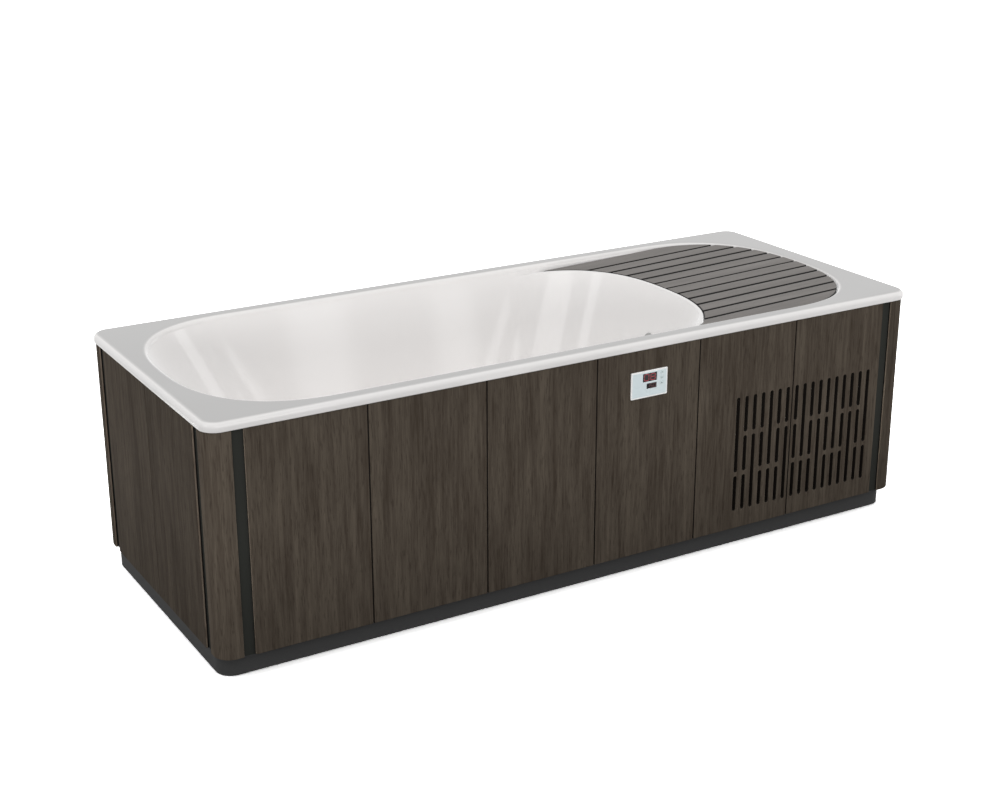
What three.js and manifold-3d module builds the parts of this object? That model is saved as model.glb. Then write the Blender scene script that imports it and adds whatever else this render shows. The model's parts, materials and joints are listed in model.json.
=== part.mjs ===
// A cold plunge tub: a one-piece shell in a board-clad cabinet, with a slatted deck over its chiller.
// Millimetres, +Z up, X along the length, the front at -Y, origin at the middle of the underside.

import * as THREE from "three";
import { mergeVertices } from "three/addons/utils/BufferGeometryUtils.js";
import Module from "manifold-3d";

// Overall size
const LENGTH = 2300;
const WIDTH = 900;
const HEIGHT = 716;

// Clearances
const FIT_GAP = 0.3; // between pieces that seat on each other
const CUT_OVERLAP = 1; // how far a cutting solid runs past the face it cuts

// Shell: rim, lip and oval opening
const RIM_LIP = 27; // height of the lip round the rim
const RIM_LIP_WALL = 14;
const RIM_THICKNESS = 8;
const RIM_EDGE_RADIUS = 16;
const RIM_CORNER_RADIUS = 48;
const RIM_END_WIDTH = 58; // rim edge to the opening's wall, at the head end
const RIM_DECK_WIDTH = 76; // at the deck's end
const RIM_SIDE_WIDTH = 50; // and at the sides
const OPENING_EDGE_RADIUS = 12;
const OVAL_END = 350; // length of an oval's rounded end
const OVAL_POWER = 2.5; // superellipse power of that end

// Shell: basin, weir and tray
const SHELL_WALL = 8;
const BASIN_FLOOR = 163; // above the ground
const BACK_LEAN = 260; // how far the back-rest wall comes in from top to floor
const FOOT_LEAN = 180;
const SIDE_LEAN = 65;
const BASIN_FLOOR_RADIUS = 80;
const WEIR_DROP = 15; // weir top below the rim
const WEIR_WIDTH = 8;
const WEIR_STEP = 1; // weir top below the deck's surface, where the deck is the lower of the two
const TRAY_STEP = 2; // tray wall inside the opening's wall

// Deck
const DECK_LENGTH = 516; // on the middle line
const DECK_SLOPE = THREE.MathUtils.degToRad(1.96);
const DECK_WALL_GAP = 4;
const DECK_WEIR_GAP = 3;
const SLAT_COUNT = 12;
const SLAT_PITCH = 62.5;
const SLAT_GAP = 9;
const SLAT_THICKNESS = 22;
const BATTEN_WIDTH = 50;
const BATTEN_THICKNESS = 26;
const BATTEN_INSET = 130; // batten centre from the deck's ends, on the middle line
const BATTEN_END_GAP = 12;

// Cladding and plinth
const PANEL_SETBACK = 3.5; // cladding face inside the rim edge
const PANEL_THICKNESS = 18;
const END_BOARD_TRIM = 13; // a front board beside a reveal is this much narrower
const PANEL_SEAM = 3;
const GROOVE_DEPTH = 4;
const FRONT_PANELS = 6;
const REVEAL_WIDTH = 32;
const REVEAL_DEPTH = 8;
const POST_LEG = 67;
const POST_RADIUS = 48;
const CHANNEL_WALL = 4;
const CHANNEL_LAP = 20; // channel behind the end of a board
const PLINTH_HEIGHT = 61;
const PLINTH_END_SETBACK = 16; // plinth wall inside the rim edge, at the ends
const PLINTH_SIDE_SETBACK = 30.5; // and at the sides
const PLINTH_CORNER_RADIUS = 48;
const PLINTH_WALL = 12.5;
const PLINTH_FLOOR = 25; // top of the plinth's floor
const LEDGE_SETBACK = 12.5; // ledge under the cladding, inside the cladding's face
const LEDGE_THICKNESS = 6;
const UNDER_BAYS = 4; // hollows in the plinth's underside
const UNDER_DEPTH = 13;
const UNDER_RIB = 60;
const CABLE_HOLE_RADIUS = 16;
const CABLE_HOLE_INSET = 140;

// Vent slots, in columns either side of the last front seam
const VENT_COLUMNS_LEFT = 7;
const VENT_COLUMNS_RIGHT = 10;
const VENT_PITCH = 31.25;
const VENT_SEAM_MARGIN = 17;
const VENT_WIDTH = 12.5;
const VENT_LENGTH = 112.5;
const VENT_BRIDGE = 12.5;
const VENT_BOTTOM = 119.5;

// Control panel, on the fourth front board
const CONTROL_PANEL = 4;
const CONTROL_X = 175;
const CONTROL_DROP = 103; // plate's middle below the lip
const PLATE_WIDTH = 125;
const PLATE_HEIGHT = 80;
const PLATE_THICKNESS = 2.4;
const PLATE_CORNER_RADIUS = 3;
const MAIN_WINDOW = { x: 1.5, z: 19.5, width: 49, height: 25 };
const LOWER_WINDOW = { x: 7.8, z: -6.5, width: 35, height: 16 };
const LENS_THICKNESS = 3;
const LENS_MARGIN = 2;
const LENS_RECESS = 0.5;
const KEY_COUNT = 3;
const KEY_COLUMN = 43; // key centres right of the plate's middle
const KEY_TOP = 28;
const KEY_PITCH = 16;
const KEY_WIDTH = 13;
const KEY_HEIGHT = 9;
const KEY_CORNER_RADIUS = 3;
const KEY_PROUD = 0.6;
const KEY_FLANGE = 1; // flange width and thickness behind the plate
const BOX_MARGIN = 3; // control box inside the plate's edge
const BOX_DEPTH = 40;
const BOX_WALL = 2.5;
const CUTOUT_GAP = 0.5;

// Basin pedestal and suction
const PEDESTAL_WIDTH = 440;
const PEDESTAL_END_GAP = 70; // pedestal to the suction fitting's axis
const SUCTION_INSET = 55; // fitting axis from the end of the flat floor
const SUCTION_FLANGE_RADIUS = 50;
const SUCTION_FLANGE_HEIGHT = 8;
const SUCTION_SHANK_RADIUS = 24;
const SUCTION_SHANK = 18; // below the floor
const PIPE_RADIUS = 20;

// Pump
const PUMP_GAP = 215; // pump inlet from the suction fitting's axis
const PUMP_RADIUS = 62;
const PUMP_VOLUTE_LENGTH = 64;
const PUMP_MOTOR_RADIUS = 52;
const PUMP_MOTOR_LENGTH = 150;
const PUMP_INLET_RADIUS = 24;
const PUMP_INLET_LENGTH = 20;
const PUMP_OUTLET_LENGTH = 34;
const PUMP_FOOT_HEIGHT = 10;
const PUMP_FOOT_WIDTH = 110;

// Filter, hung in the tray floor
const FILTER_Y = 200;
const FILTER_RADIUS = 66;
const FILTER_WALL = 8;
const FILTER_DEPTH = 236; // body below the tray floor
const FILTER_FLANGE_RADIUS = 84;
const FILTER_FLANGE = 6;
const FILTER_OUTLET_RADIUS = 16;
const FILTER_STUB_LENGTH = 22;
const FILTER_STUB_DROP = 90; // feed stub below the tray floor
const CARTRIDGE_GAP = 4;
const CARTRIDGE_PLEAT = 9;
const CARTRIDGE_PLEATS = 18;
const CARTRIDGE_HEAD_GAP = 14;
const CAP_THICKNESS = 8;
const CAP_PLUG = 10;
const CAP_PLUG_GAP = 1.2; // lets the plug's facets turn in the housing
const CAP_BAR_HEIGHT = 8;
const CAP_BAR_WIDTH = 16;

// Heat exchanger, compressor and their lines
const EXCHANGER_RADIUS = 75;
const EXCHANGER_SPIGOT = 34;
const EXCHANGER_SHOULDER = 22;
const PORT_DROP = 95; // upper ports below the exchanger's shoulder
const COMPRESSOR_OFFSET = 154; // left of the fan's axis
const COMPRESSOR_CLEARANCE = 42; // behind the fan shroud
const COMPRESSOR_RADIUS = 66;
const COMPRESSOR_HEIGHT = 210;
const COMPRESSOR_PLATE = 6;
const COMPRESSOR_PLATE_WIDTH = 176;
const COMPRESSOR_DOME = 40;
const LINE_RADIUS = 6;
const LINE_BEND = 42; // how far a line stands off the piece that it leaves

// Condenser, shroud and fan, behind the vents
const CONDENSER_GAP = 10; // behind the boards
const CONDENSER_WIDTH = 480;
const CONDENSER_HEIGHT = 350;
const CONDENSER_CORE = 16;
const FIN_DEPTH = 28;
const FIN_THICKNESS = 4;
const FIN_COUNT = 30;
const SHROUD_DEPTH = 44;
const FAN_RADIUS = 150;
const FAN_TIP_GAP = 6;
const FAN_HUB_RADIUS = 46;
const FAN_HUB_LENGTH = 34;
const FAN_BLADES = 5;
const BLADE_CHORD = 74;
const BLADE_THICKNESS = 3;
const BLADE_PITCH = THREE.MathUtils.degToRad(24);
const STATOR_RADIUS = 42;
const STATOR_LENGTH = 26;
const ARM_WIDTH = 16;
const ARM_DEPTH = 8;

// Inlet in the foot wall, and drain valve at the rear
const INLET_DROP = 158; // inlet below the weir
const INLET_FLANGE_RADIUS = 20;
const INLET_FLANGE = 5;
const INLET_SHANK_RADIUS = 13;
const INLET_BORE_RADIUS = 7;
const INLET_TAIL = 46; // shank behind the wall
const INLET_NUT_RADIUS = 22;
const INLET_NUT = 10;
const RETURN_PIPE_RADIUS = 16;
const DRAIN_SEAM_INSET = 63.5; // drain from the rear seam beside it
const VALVE_RADIUS = 26;
const VALVE_LENGTH = 60;
const VALVE_STEM_RADIUS = 9;
const VALVE_STEM_HEIGHT = 12;
const SPIGOT_RADIUS = 18;
const LEVER_LENGTH = 82;
const LEVER_WIDTH = 18;
const LEVER_THICKNESS = 5;

// Facets
const ROUND_SIDES = 20;
const TUBE_SIDES = 10;
const TUBE_STEPS = 12;
const CORNER_STEPS = 6;
const FILLET_STEPS = 4;
const OVAL_STEPS = 12; // facets in one rounded end
const CURVE_STEPS = 4; // facets in the curved end of one slat
const TRAY_STEPS = 20;
const SLOT_STEPS = 4; // facets in one round slot end

const wasm = await Module();
wasm.setup();

const FINISHES = {
  acrylic: { color: 0xe4e1de, roughness: 0.12, metalness: 0 },
  wood: { color: 0x4f4840, roughness: 0.6, metalness: 0 },
  slat: { color: 0x999592, roughness: 0.65, metalness: 0 },
  darkMetal: { color: 0x2e302f, roughness: 0.45, metalness: 0.2 },
  plate: { color: 0xc9dcd8, roughness: 0.3, metalness: 0 },
  lens: { color: 0x1a0a0a, roughness: 0.1, metalness: 0 },
  whitePlastic: { color: 0xdcdcda, roughness: 0.4, metalness: 0 },
  greyPlastic: { color: 0x8c8f90, roughness: 0.5, metalness: 0 },
  blackPlastic: { color: 0x1c1d1e, roughness: 0.5, metalness: 0 },
  blackMetal: { color: 0x17181a, roughness: 0.4, metalness: 0.4 },
  coatedFins: { color: 0x232527, roughness: 0.5, metalness: 0.5 },
  copper: { color: 0xb87348, roughness: 0.3, metalness: 1 },
  paper: { color: 0xd7dbe2, roughness: 0.9, metalness: 0 },
  foam: { color: 0xc8c2ae, roughness: 0.9, metalness: 0 },
  plinth: { color: 0x343535, roughness: 0.6, metalness: 0 },
};

function addPiece(parent, name, geometry, finish) {
  const mesh = new THREE.Mesh(geometry, new THREE.MeshStandardMaterial(FINISHES[finish]));
  mesh.name = name;
  parent.add(mesh);
  return mesh;
}

// Solids

function signedVolume(vertices, triangles) {
  const corner = (index) => new THREE.Vector3().fromArray(vertices, 3 * index);
  let volume = 0;
  for (let i = 0; i < triangles.length; i += 3) {
    const [a, b, c] = [0, 1, 2].map((k) => corner(triangles[i + k]));
    volume += a.dot(b.cross(c)) / 6;
  }
  return volume;
}

// A closed geometry as a solid, with its vertices merged and its faces pointing out.
function toSolid(geometry) {
  const bare = geometry.index ? geometry.toNonIndexed() : geometry.clone();
  bare.deleteAttribute("normal");
  bare.deleteAttribute("uv");
  const merged = mergeVertices(bare, 1e-3);
  const vertices = merged.attributes.position.array;
  const triangles = [];
  for (let i = 0; i < merged.index.count; i += 3) {
    const [a, b, c] = merged.index.array.slice(i, i + 3);
    if (a !== b && b !== c && c !== a) {
      triangles.push(a, b, c);
    }
  }
  if (signedVolume(vertices, triangles) < 0) {
    triangles.reverse();
  }
  const triVerts = new Uint32Array(triangles);
  return new wasm.Manifold(new wasm.Mesh({ numProp: 3, vertProperties: vertices, triVerts }));
}

function toGeometry(solid) {
  const mesh = solid.getMesh();
  const geometry = new THREE.BufferGeometry();
  geometry.setAttribute("position", new THREE.BufferAttribute(mesh.vertProperties, 3));
  geometry.setIndex(new THREE.BufferAttribute(mesh.triVerts, 1));
  geometry.computeVertexNormals();
  return geometry;
}

function join(...geometries) {
  return toGeometry(geometries.map(toSolid).reduce((whole, next) => whole.add(next)));
}

function cut(geometry, ...tools) {
  return toGeometry(tools.map(toSolid).reduce((whole, tool) => whole.subtract(tool), toSolid(geometry)));
}

function closed(geometry) {
  return toGeometry(toSolid(geometry));
}

// Shapes

function prism(outline, height, holes = []) {
  const shape = new THREE.Shape(outline);
  shape.holes = holes.map((hole) => new THREE.Path(hole));
  return new THREE.ExtrudeGeometry(shape, { depth: height, bevelEnabled: false });
}

function capTriangles(ring) {
  return THREE.ShapeUtils.triangulateShape(ring.map(({ x, y }) => new THREE.Vector2(x, y)), []);
}

// Closed solid through rings with as many points each, bottom to top, counter-clockwise from above.
function loft(rings) {
  const count = rings[0].length;
  const topStart = (rings.length - 1) * count;
  const faces = [];
  for (let start = 0; start < topStart; start += count) {
    for (let i = 0; i < count; i += 1) {
      const a = start + i;
      const b = start + ((i + 1) % count);
      faces.push(a, b, b + count, a, b + count, a + count);
    }
  }
  capTriangles(rings[0]).forEach(([a, b, c]) => faces.push(a, c, b));
  capTriangles(rings.at(-1)).forEach((triangle) => faces.push(...triangle.map((i) => topStart + i)));
  const geometry = new THREE.BufferGeometry().setFromPoints(rings.flat());
  geometry.setIndex(faces);
  return geometry;
}

// A flat outline as a ring at a height, which may be a function of x.
function raise(outline, height) {
  const heightAt = typeof height === "function" ? height : () => height;
  return outline.map(({ x, y }) => new THREE.Vector3(x, y, heightAt(x)));
}

function rectangle(left, right, low, high) {
  return [
    new THREE.Vector2(left, low),
    new THREE.Vector2(right, low),
    new THREE.Vector2(right, high),
    new THREE.Vector2(left, high),
  ];
}

function arc(centreX, centreY, radius, from, to, steps) {
  return Array.from({ length: steps + 1 }, (_, step) => {
    const angle = from + ((to - from) * step) / steps;
    return new THREE.Vector2(centreX + radius * Math.cos(angle), centreY + radius * Math.sin(angle));
  });
}

function roundedRectangle(halfLength, halfWidth, radius, centreX = 0, centreY = 0, steps = CORNER_STEPS) {
  const signs = [[1, 1], [-1, 1], [-1, -1], [1, -1]];
  const quarter = Math.PI / 2;
  return signs.flatMap(([signX, signY], turn) => {
    const x = centreX + signX * (halfLength - radius);
    const y = centreY + signY * (halfWidth - radius);
    return arc(x, y, radius, turn * quarter, (turn + 1) * quarter, steps);
  });
}

function circle(radius, centreX = 0, centreY = 0, sides = ROUND_SIDES) {
  return arc(centreX, centreY, radius, 0, 2 * Math.PI, sides).slice(0, -1);
}

function box(low, high) {
  const size = high.clone().sub(low);
  const centre = low.clone().add(high).multiplyScalar(0.5);
  return new THREE.BoxGeometry(size.x, size.y, size.z).translate(centre.x, centre.y, centre.z);
}

const at = (x, y, z) => new THREE.Vector3(x, y, z);

// Solid of revolution about +Z. The (radius, height) pairs start and end on the axis or close on themselves.
function turned(profile, sides = ROUND_SIDES) {
  const points = profile.map(([radius, height]) => new THREE.Vector2(radius, height));
  return closed(new THREE.LatheGeometry(points, sides).rotateX(Math.PI / 2));
}

function rod(start, end, radius, sides = ROUND_SIDES) {
  const run = end.clone().sub(start);
  const geometry = new THREE.CylinderGeometry(radius, radius, run.length(), sides);
  const turn = new THREE.Quaternion().setFromUnitVectors(at(0, 1, 0), run.clone().normalize());
  const middle = start.clone().addScaledVector(run, 0.5);
  return geometry.applyQuaternion(turn).translate(middle.x, middle.y, middle.z);
}

function tube(points, radius) {
  const path = new THREE.CatmullRomCurve3(points, false, "centripetal");
  const section = new THREE.Shape(circle(radius, 0, 0, TUBE_SIDES));
  return closed(new THREE.ExtrudeGeometry(section, { steps: TUBE_STEPS, extrudePath: path }));
}

// Ovals with straight sides and superellipse ends

const OPENING = {
  left: -LENGTH / 2 + RIM_END_WIDTH,
  right: LENGTH / 2 - RIM_DECK_WIDTH,
  halfWidth: WIDTH / 2 - RIM_SIDE_WIDTH,
  end: OVAL_END,
};
const DECK_RIGHT = OPENING.right - DECK_WALL_GAP;
const DECK_LEFT = DECK_RIGHT - DECK_LENGTH;
const BASIN = { ...OPENING, right: DECK_LEFT - DECK_WEIR_GAP - WEIR_WIDTH };

// Angles of one end's corners: a facet, and not a corner, lies on the middle line.
const END_ANGLES = [
  -Math.PI / 2,
  ...Array.from({ length: OVAL_STEPS }, (_, i) => ((i + 0.5) / OVAL_STEPS - 0.5) * Math.PI),
  Math.PI / 2,
];

function ovalOutline({ left, right, halfWidth, end }) {
  const bent = (value) => Math.sign(value) * Math.abs(value) ** (2 / OVAL_POWER);
  const points = END_ANGLES.map((angle) => [
    end * bent(Math.cos(angle)),
    halfWidth * bent(Math.sin(angle)),
  ]);
  const rightEnd = points.map(([along, across]) => new THREE.Vector2(right - end + along, across));
  const leftEnd = points.map(([along, across]) => new THREE.Vector2(left + end - along, -across));
  return [...rightEnd, ...leftEnd];
}

function grown(oval, by) {
  return {
    left: oval.left - by,
    right: oval.right + by,
    halfWidth: oval.halfWidth + by,
    end: oval.end + by,
  };
}

// Where the right end of an oval lies at a distance y from the middle line.
function endX(oval, y) {
  const share = 1 - (Math.abs(y) / oval.halfWidth) ** OVAL_POWER;
  return oval.right - oval.end + oval.end * Math.max(share, 0) ** (1 / OVAL_POWER);
}

function endY(oval, x) {
  const share = Math.max(x - (oval.right - oval.end), 0) / oval.end;
  return oval.halfWidth * (1 - share ** OVAL_POWER) ** (1 / OVAL_POWER);
}

// Outline between two ovals' right ends, from y = low to y = high, with more points where they curve most.
function crescent(inner, outer, low, high, steps) {
  const from = Math.asin(low / outer.halfWidth);
  const to = Math.asin(high / outer.halfWidth);
  const rows = arc(0, 0, outer.halfWidth, from, to, steps).map((point) => point.y);
  const outerSide = rows.map((y) => new THREE.Vector2(endX(outer, y), y));
  const innerSide = rows.map((y) => new THREE.Vector2(endX(inner, y), y));
  return [...outerSide, ...innerSide.reverse()];
}

// Heights, planes and places that several pieces share

const LIP_BOTTOM = HEIGHT - RIM_LIP;
const WEIR_TOP = HEIGHT - WEIR_DROP;
const FLOOR_UNDERSIDE = BASIN_FLOOR - SHELL_WALL;
const FLAT_FLOOR_LEFT = BASIN.left + BACK_LEAN + BASIN_FLOOR_RADIUS;
const FLAT_FLOOR_RIGHT = BASIN.right - FOOT_LEAN - BASIN_FLOOR_RADIUS;
const FOOT_SLOPE = FOOT_LEAN / (WEIR_TOP - BASIN_FLOOR);

const CONTROL_Z = LIP_BOTTOM - CONTROL_DROP;

const CLAD_X = LENGTH / 2 - PANEL_SETBACK;
const CLAD_Y = WIDTH / 2 - PANEL_SETBACK;
const CLAD_BOTTOM = PLINTH_HEIGHT + FIT_GAP;
const CLAD_HEIGHT = LIP_BOTTOM - FIT_GAP - CLAD_BOTTOM;
const FIELD_X = CLAD_X - POST_LEG - REVEAL_WIDTH; // boards lie between the reveals
const FIELD_Y = CLAD_Y - POST_LEG - REVEAL_WIDTH;
const PANEL_PITCH = (FIELD_X + END_BOARD_TRIM) / (FRONT_PANELS / 2);
const BOARD_BACK = CLAD_Y - PANEL_THICKNESS;
const STANDING = PLINTH_FLOOR + FIT_GAP; // what stands on the plinth's floor starts here

const DECK_OVAL = grown(OPENING, -DECK_WALL_GAP);
const DECK_WEIR = grown(BASIN, WEIR_WIDTH + DECK_WEIR_GAP);
const DECK_DEPTH = SLAT_THICKNESS + BATTEN_THICKNESS + 2 * FIT_GAP; // deck top to tray floor
const BATTEN_CENTRES = [DECK_LEFT + BATTEN_INSET, DECK_RIGHT - BATTEN_INSET];
const FILTER_X = (BATTEN_CENTRES[0] + BATTEN_CENTRES[1]) / 2;

function trayFloor(x) {
  return HEIGHT - (DECK_RIGHT - x) * Math.tan(DECK_SLOPE) - DECK_DEPTH / Math.cos(DECK_SLOPE);
}

// Frame of the sloping deck: origin on the deck's top at its right end, x along the slats.
function deckFrame() {
  const frame = new THREE.Group();
  frame.position.set(DECK_RIGHT, 0, HEIGHT);
  frame.rotation.y = -DECK_SLOPE;
  frame.updateMatrix();
  return frame;
}

const VENT_SEAM = (FRONT_PANELS / 2 - 1) * PANEL_PITCH;
const VENT_TOP = VENT_BOTTOM + 3 * VENT_LENGTH + 2 * VENT_BRIDGE;
const VENT_LEFT = VENT_SEAM - VENT_SEAM_MARGIN - (VENT_COLUMNS_LEFT - 1) * VENT_PITCH;
const VENT_RIGHT = VENT_SEAM + VENT_SEAM_MARGIN + (VENT_COLUMNS_RIGHT - 1) * VENT_PITCH;
const FAN_X = (VENT_LEFT + VENT_RIGHT) / 2;
const FAN_Z = (VENT_BOTTOM + VENT_TOP) / 2;
const SHROUD_FRONT = -BOARD_BACK + CONDENSER_GAP + FIN_DEPTH + CONDENSER_CORE + FIT_GAP;
const SHROUD_BACK = SHROUD_FRONT + SHROUD_DEPTH;
const STATOR_FACE = SHROUD_BACK - ARM_DEPTH - FIT_GAP; // the rotor's hub seats here
const COMPRESSOR_X = FAN_X - COMPRESSOR_OFFSET;
const COMPRESSOR_Y = SHROUD_BACK + COMPRESSOR_CLEARANCE + COMPRESSOR_PLATE_WIDTH / 2;

const SUCTION_X = FLAT_FLOOR_RIGHT - SUCTION_INSET;
const PUMP_X = SUCTION_X + PUMP_GAP;
const PUMP_Z = STANDING + PUMP_FOOT_HEIGHT + PUMP_RADIUS;
const DRAIN_X = PANEL_PITCH - DRAIN_SEAM_INSET;
const DRAIN_Y = BOARD_BACK - VALVE_LENGTH - LEVER_WIDTH; // valve inlet

// Inlet place on the foot wall, with its axis square to the wall and pointing into the basin.
const INLET_HEIGHT = WEIR_TOP - INLET_DROP;
const INLET_X = ovalOutline(BASIN)[OVAL_STEPS / 2].x - FOOT_SLOPE * INLET_DROP;
const INLET_AXIS = at(-1, 0, FOOT_SLOPE).normalize();
const FOOT_WALL = SHELL_WALL * (1 + FOOT_SLOPE) * -INLET_AXIS.x; // thickness along that axis

// Shell

function rimSlab() {
  const sides = [raise(roundedRectangle(LENGTH / 2, WIDTH / 2, RIM_CORNER_RADIUS), LIP_BOTTOM)];
  for (let step = 0; step <= FILLET_STEPS; step += 1) {
    const angle = (step / FILLET_STEPS) * (Math.PI / 2);
    const inset = RIM_EDGE_RADIUS * (1 - Math.cos(angle));
    const height = HEIGHT - RIM_EDGE_RADIUS * (1 - Math.sin(angle));
    const radius = RIM_CORNER_RADIUS - inset;
    sides.push(raise(roundedRectangle(LENGTH / 2 - inset, WIDTH / 2 - inset, radius), height));
  }
  const hollow = roundedRectangle(
    LENGTH / 2 - RIM_LIP_WALL,
    WIDTH / 2 - RIM_LIP_WALL,
    RIM_CORNER_RADIUS - RIM_LIP_WALL,
  );
  const hollowTop = HEIGHT - RIM_THICKNESS;
  return cut(loft(sides), loft([raise(hollow, LIP_BOTTOM - CUT_OVERLAP), raise(hollow, hollowTop)]));
}

// The basin's hollow, or with a wall thickness the solid that the hollow is cut from.
function basinBody(wall, top) {
  const ringAt = (height, inset) => {
    const drop = (WEIR_TOP - height) / (WEIR_TOP - BASIN_FLOOR);
    const oval = {
      left: BASIN.left + BACK_LEAN * drop + inset,
      right: BASIN.right - FOOT_LEAN * drop - inset,
      halfWidth: BASIN.halfWidth - SIDE_LEAN * drop - inset,
      end: BASIN.end - inset,
    };
    return raise(ovalOutline(grown(oval, wall)), height - wall);
  };
  const rings = [];
  for (let step = 0; step <= FILLET_STEPS; step += 1) {
    const angle = (step / FILLET_STEPS) * (Math.PI / 2);
    const height = BASIN_FLOOR + BASIN_FLOOR_RADIUS * (1 - Math.cos(angle));
    rings.push(ringAt(height, BASIN_FLOOR_RADIUS * (1 - Math.sin(angle))));
  }
  rings.push(ringAt(WEIR_TOP, 0));
  rings.push(raise(ovalOutline(grown(BASIN, wall)), top));
  return loft(rings);
}

// Hollow above the weir: the whole oval opening with its rounded edge.
function openingHollow() {
  const edge = Math.min(OPENING_EDGE_RADIUS, WEIR_DROP - CUT_OVERLAP);
  const rings = [raise(ovalOutline(OPENING), WEIR_TOP)];
  for (let step = 0; step <= FILLET_STEPS; step += 1) {
    const angle = (step / FILLET_STEPS) * (Math.PI / 2);
    const oval = grown(OPENING, edge * (1 - Math.cos(angle)));
    rings.push(raise(ovalOutline(oval), HEIGHT - edge * (1 - Math.sin(angle))));
  }
  rings.push(raise(ovalOutline(grown(OPENING, edge)), HEIGHT + CUT_OVERLAP));
  return loft(rings);
}

function trayBody(inner, outer, floorDrop, top) {
  const reach = outer.halfWidth - TRAY_STEP;
  const outline = crescent(inner, outer, -reach, reach, TRAY_STEPS);
  return loft([raise(outline, (x) => trayFloor(x) - floorDrop), raise(outline, top)]);
}

// What the weir loses, so that the sloping deck lies clear of it.
function weirTrim() {
  const reach = OPENING.halfWidth - 2 * TRAY_STEP;
  const edge = grown(BASIN, WEIR_WIDTH + CUT_OVERLAP);
  const outline = crescent(grown(BASIN, -WEIR_WIDTH), edge, -reach, reach, TRAY_STEPS);
  const floorRise = DECK_DEPTH / Math.cos(DECK_SLOPE) - WEIR_STEP;
  return loft([raise(outline, (x) => trayFloor(x) + floorRise), raise(outline, WEIR_TOP + CUT_OVERLAP)]);
}

function shellGeometry() {
  const rimCore = HEIGHT - RIM_THICKNESS / 2;
  const trayOval = grown(OPENING, -TRAY_STEP);
  const body = join(
    rimSlab(),
    basinBody(SHELL_WALL, rimCore),
    trayBody(BASIN, grown(trayOval, SHELL_WALL), SHELL_WALL, rimCore),
  );
  const filterHole = rod(
    at(FILTER_X - DECK_RIGHT, FILTER_Y, -DECK_DEPTH - 2 * SHELL_WALL),
    at(FILTER_X - DECK_RIGHT, FILTER_Y, -DECK_DEPTH + CUT_OVERLAP),
    FILTER_RADIUS + FIT_GAP,
  ).applyMatrix4(deckFrame().matrix);
  const inletHole = rod(
    inletPoint(CUT_OVERLAP),
    inletPoint(-FOOT_WALL - CUT_OVERLAP),
    INLET_SHANK_RADIUS + FIT_GAP,
  );
  const suctionHole = rod(
    at(SUCTION_X, 0, FLOOR_UNDERSIDE - CUT_OVERLAP),
    at(SUCTION_X, 0, BASIN_FLOOR + CUT_OVERLAP),
    SUCTION_SHANK_RADIUS + FIT_GAP,
  );
  return cut(
    body,
    openingHollow(),
    basinBody(0, WEIR_TOP + CUT_OVERLAP),
    trayBody(grown(BASIN, WEIR_WIDTH), trayOval, 0, WEIR_TOP + CUT_OVERLAP),
    weirTrim(),
    filterHole,
    inletHole,
    suctionHole,
  );
}

// Point on the inlet's axis, a distance into the basin from the wall.
function inletPoint(distance) {
  return at(INLET_X, 0, INLET_HEIGHT).addScaledVector(INLET_AXIS, distance);
}

// Plinth and pedestal

function plinthGeometry() {
  const halfLength = LENGTH / 2 - PLINTH_END_SETBACK;
  const halfWidth = WIDTH / 2 - PLINTH_SIDE_SETBACK;
  const outer = roundedRectangle(halfLength, halfWidth, PLINTH_CORNER_RADIUS);
  const innerRadius = PLINTH_CORNER_RADIUS - PLINTH_WALL;
  const inner = roundedRectangle(halfLength - PLINTH_WALL, halfWidth - PLINTH_WALL, innerRadius);
  const ledgeRadius = POST_RADIUS - LEDGE_SETBACK;
  const ledgeOutline = roundedRectangle(CLAD_X - LEDGE_SETBACK, CLAD_Y - LEDGE_SETBACK, ledgeRadius);
  const ledge = prism(ledgeOutline, LEDGE_THICKNESS).translate(0, 0, PLINTH_HEIGHT - LEDGE_THICKNESS);
  const pocket = prism(inner, PLINTH_HEIGHT).translate(0, 0, PLINTH_FLOOR);
  const pitch = (2 * halfLength - UNDER_RIB) / UNDER_BAYS;
  const bays = Array.from({ length: UNDER_BAYS }, (_, bay) => {
    const left = -halfLength + UNDER_RIB + bay * pitch;
    const low = at(left, UNDER_RIB - halfWidth, -CUT_OVERLAP);
    return box(low, at(left + pitch - UNDER_RIB, halfWidth - UNDER_RIB, UNDER_DEPTH));
  });
  const cableX = halfLength - CABLE_HOLE_INSET;
  const cableY = halfWidth - CABLE_HOLE_INSET;
  const cableHole = rod(
    at(cableX, cableY, -CUT_OVERLAP),
    at(cableX, cableY, PLINTH_FLOOR + CUT_OVERLAP),
    CABLE_HOLE_RADIUS,
  );
  return cut(join(prism(outer, PLINTH_HEIGHT), ledge), pocket, cableHole, ...bays);
}

// A block of rigid foam under the basin's flat floor.
function pedestalGeometry() {
  const low = at(FLAT_FLOOR_LEFT, -PEDESTAL_WIDTH / 2, STANDING);
  const high = at(SUCTION_X - PEDESTAL_END_GAP, PEDESTAL_WIDTH / 2, FLOOR_UNDERSIDE - FIT_GAP);
  return box(low, high);
}

// Cladding

// Group whose x and y run along and up a face of the cabinet, and whose z points out of it.
function faceGroup(x, y, z) {
  const group = new THREE.Group();
  group.position.set(x, y, z);
  group.rotation.x = Math.PI / 2;
  return group;
}

function slotOutline(x, low, high) {
  const radius = VENT_WIDTH / 2;
  return [
    ...arc(x, high - radius, radius, 0, Math.PI, SLOT_STEPS),
    ...arc(x, low + radius, radius, Math.PI, 2 * Math.PI, SLOT_STEPS),
  ];
}

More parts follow.
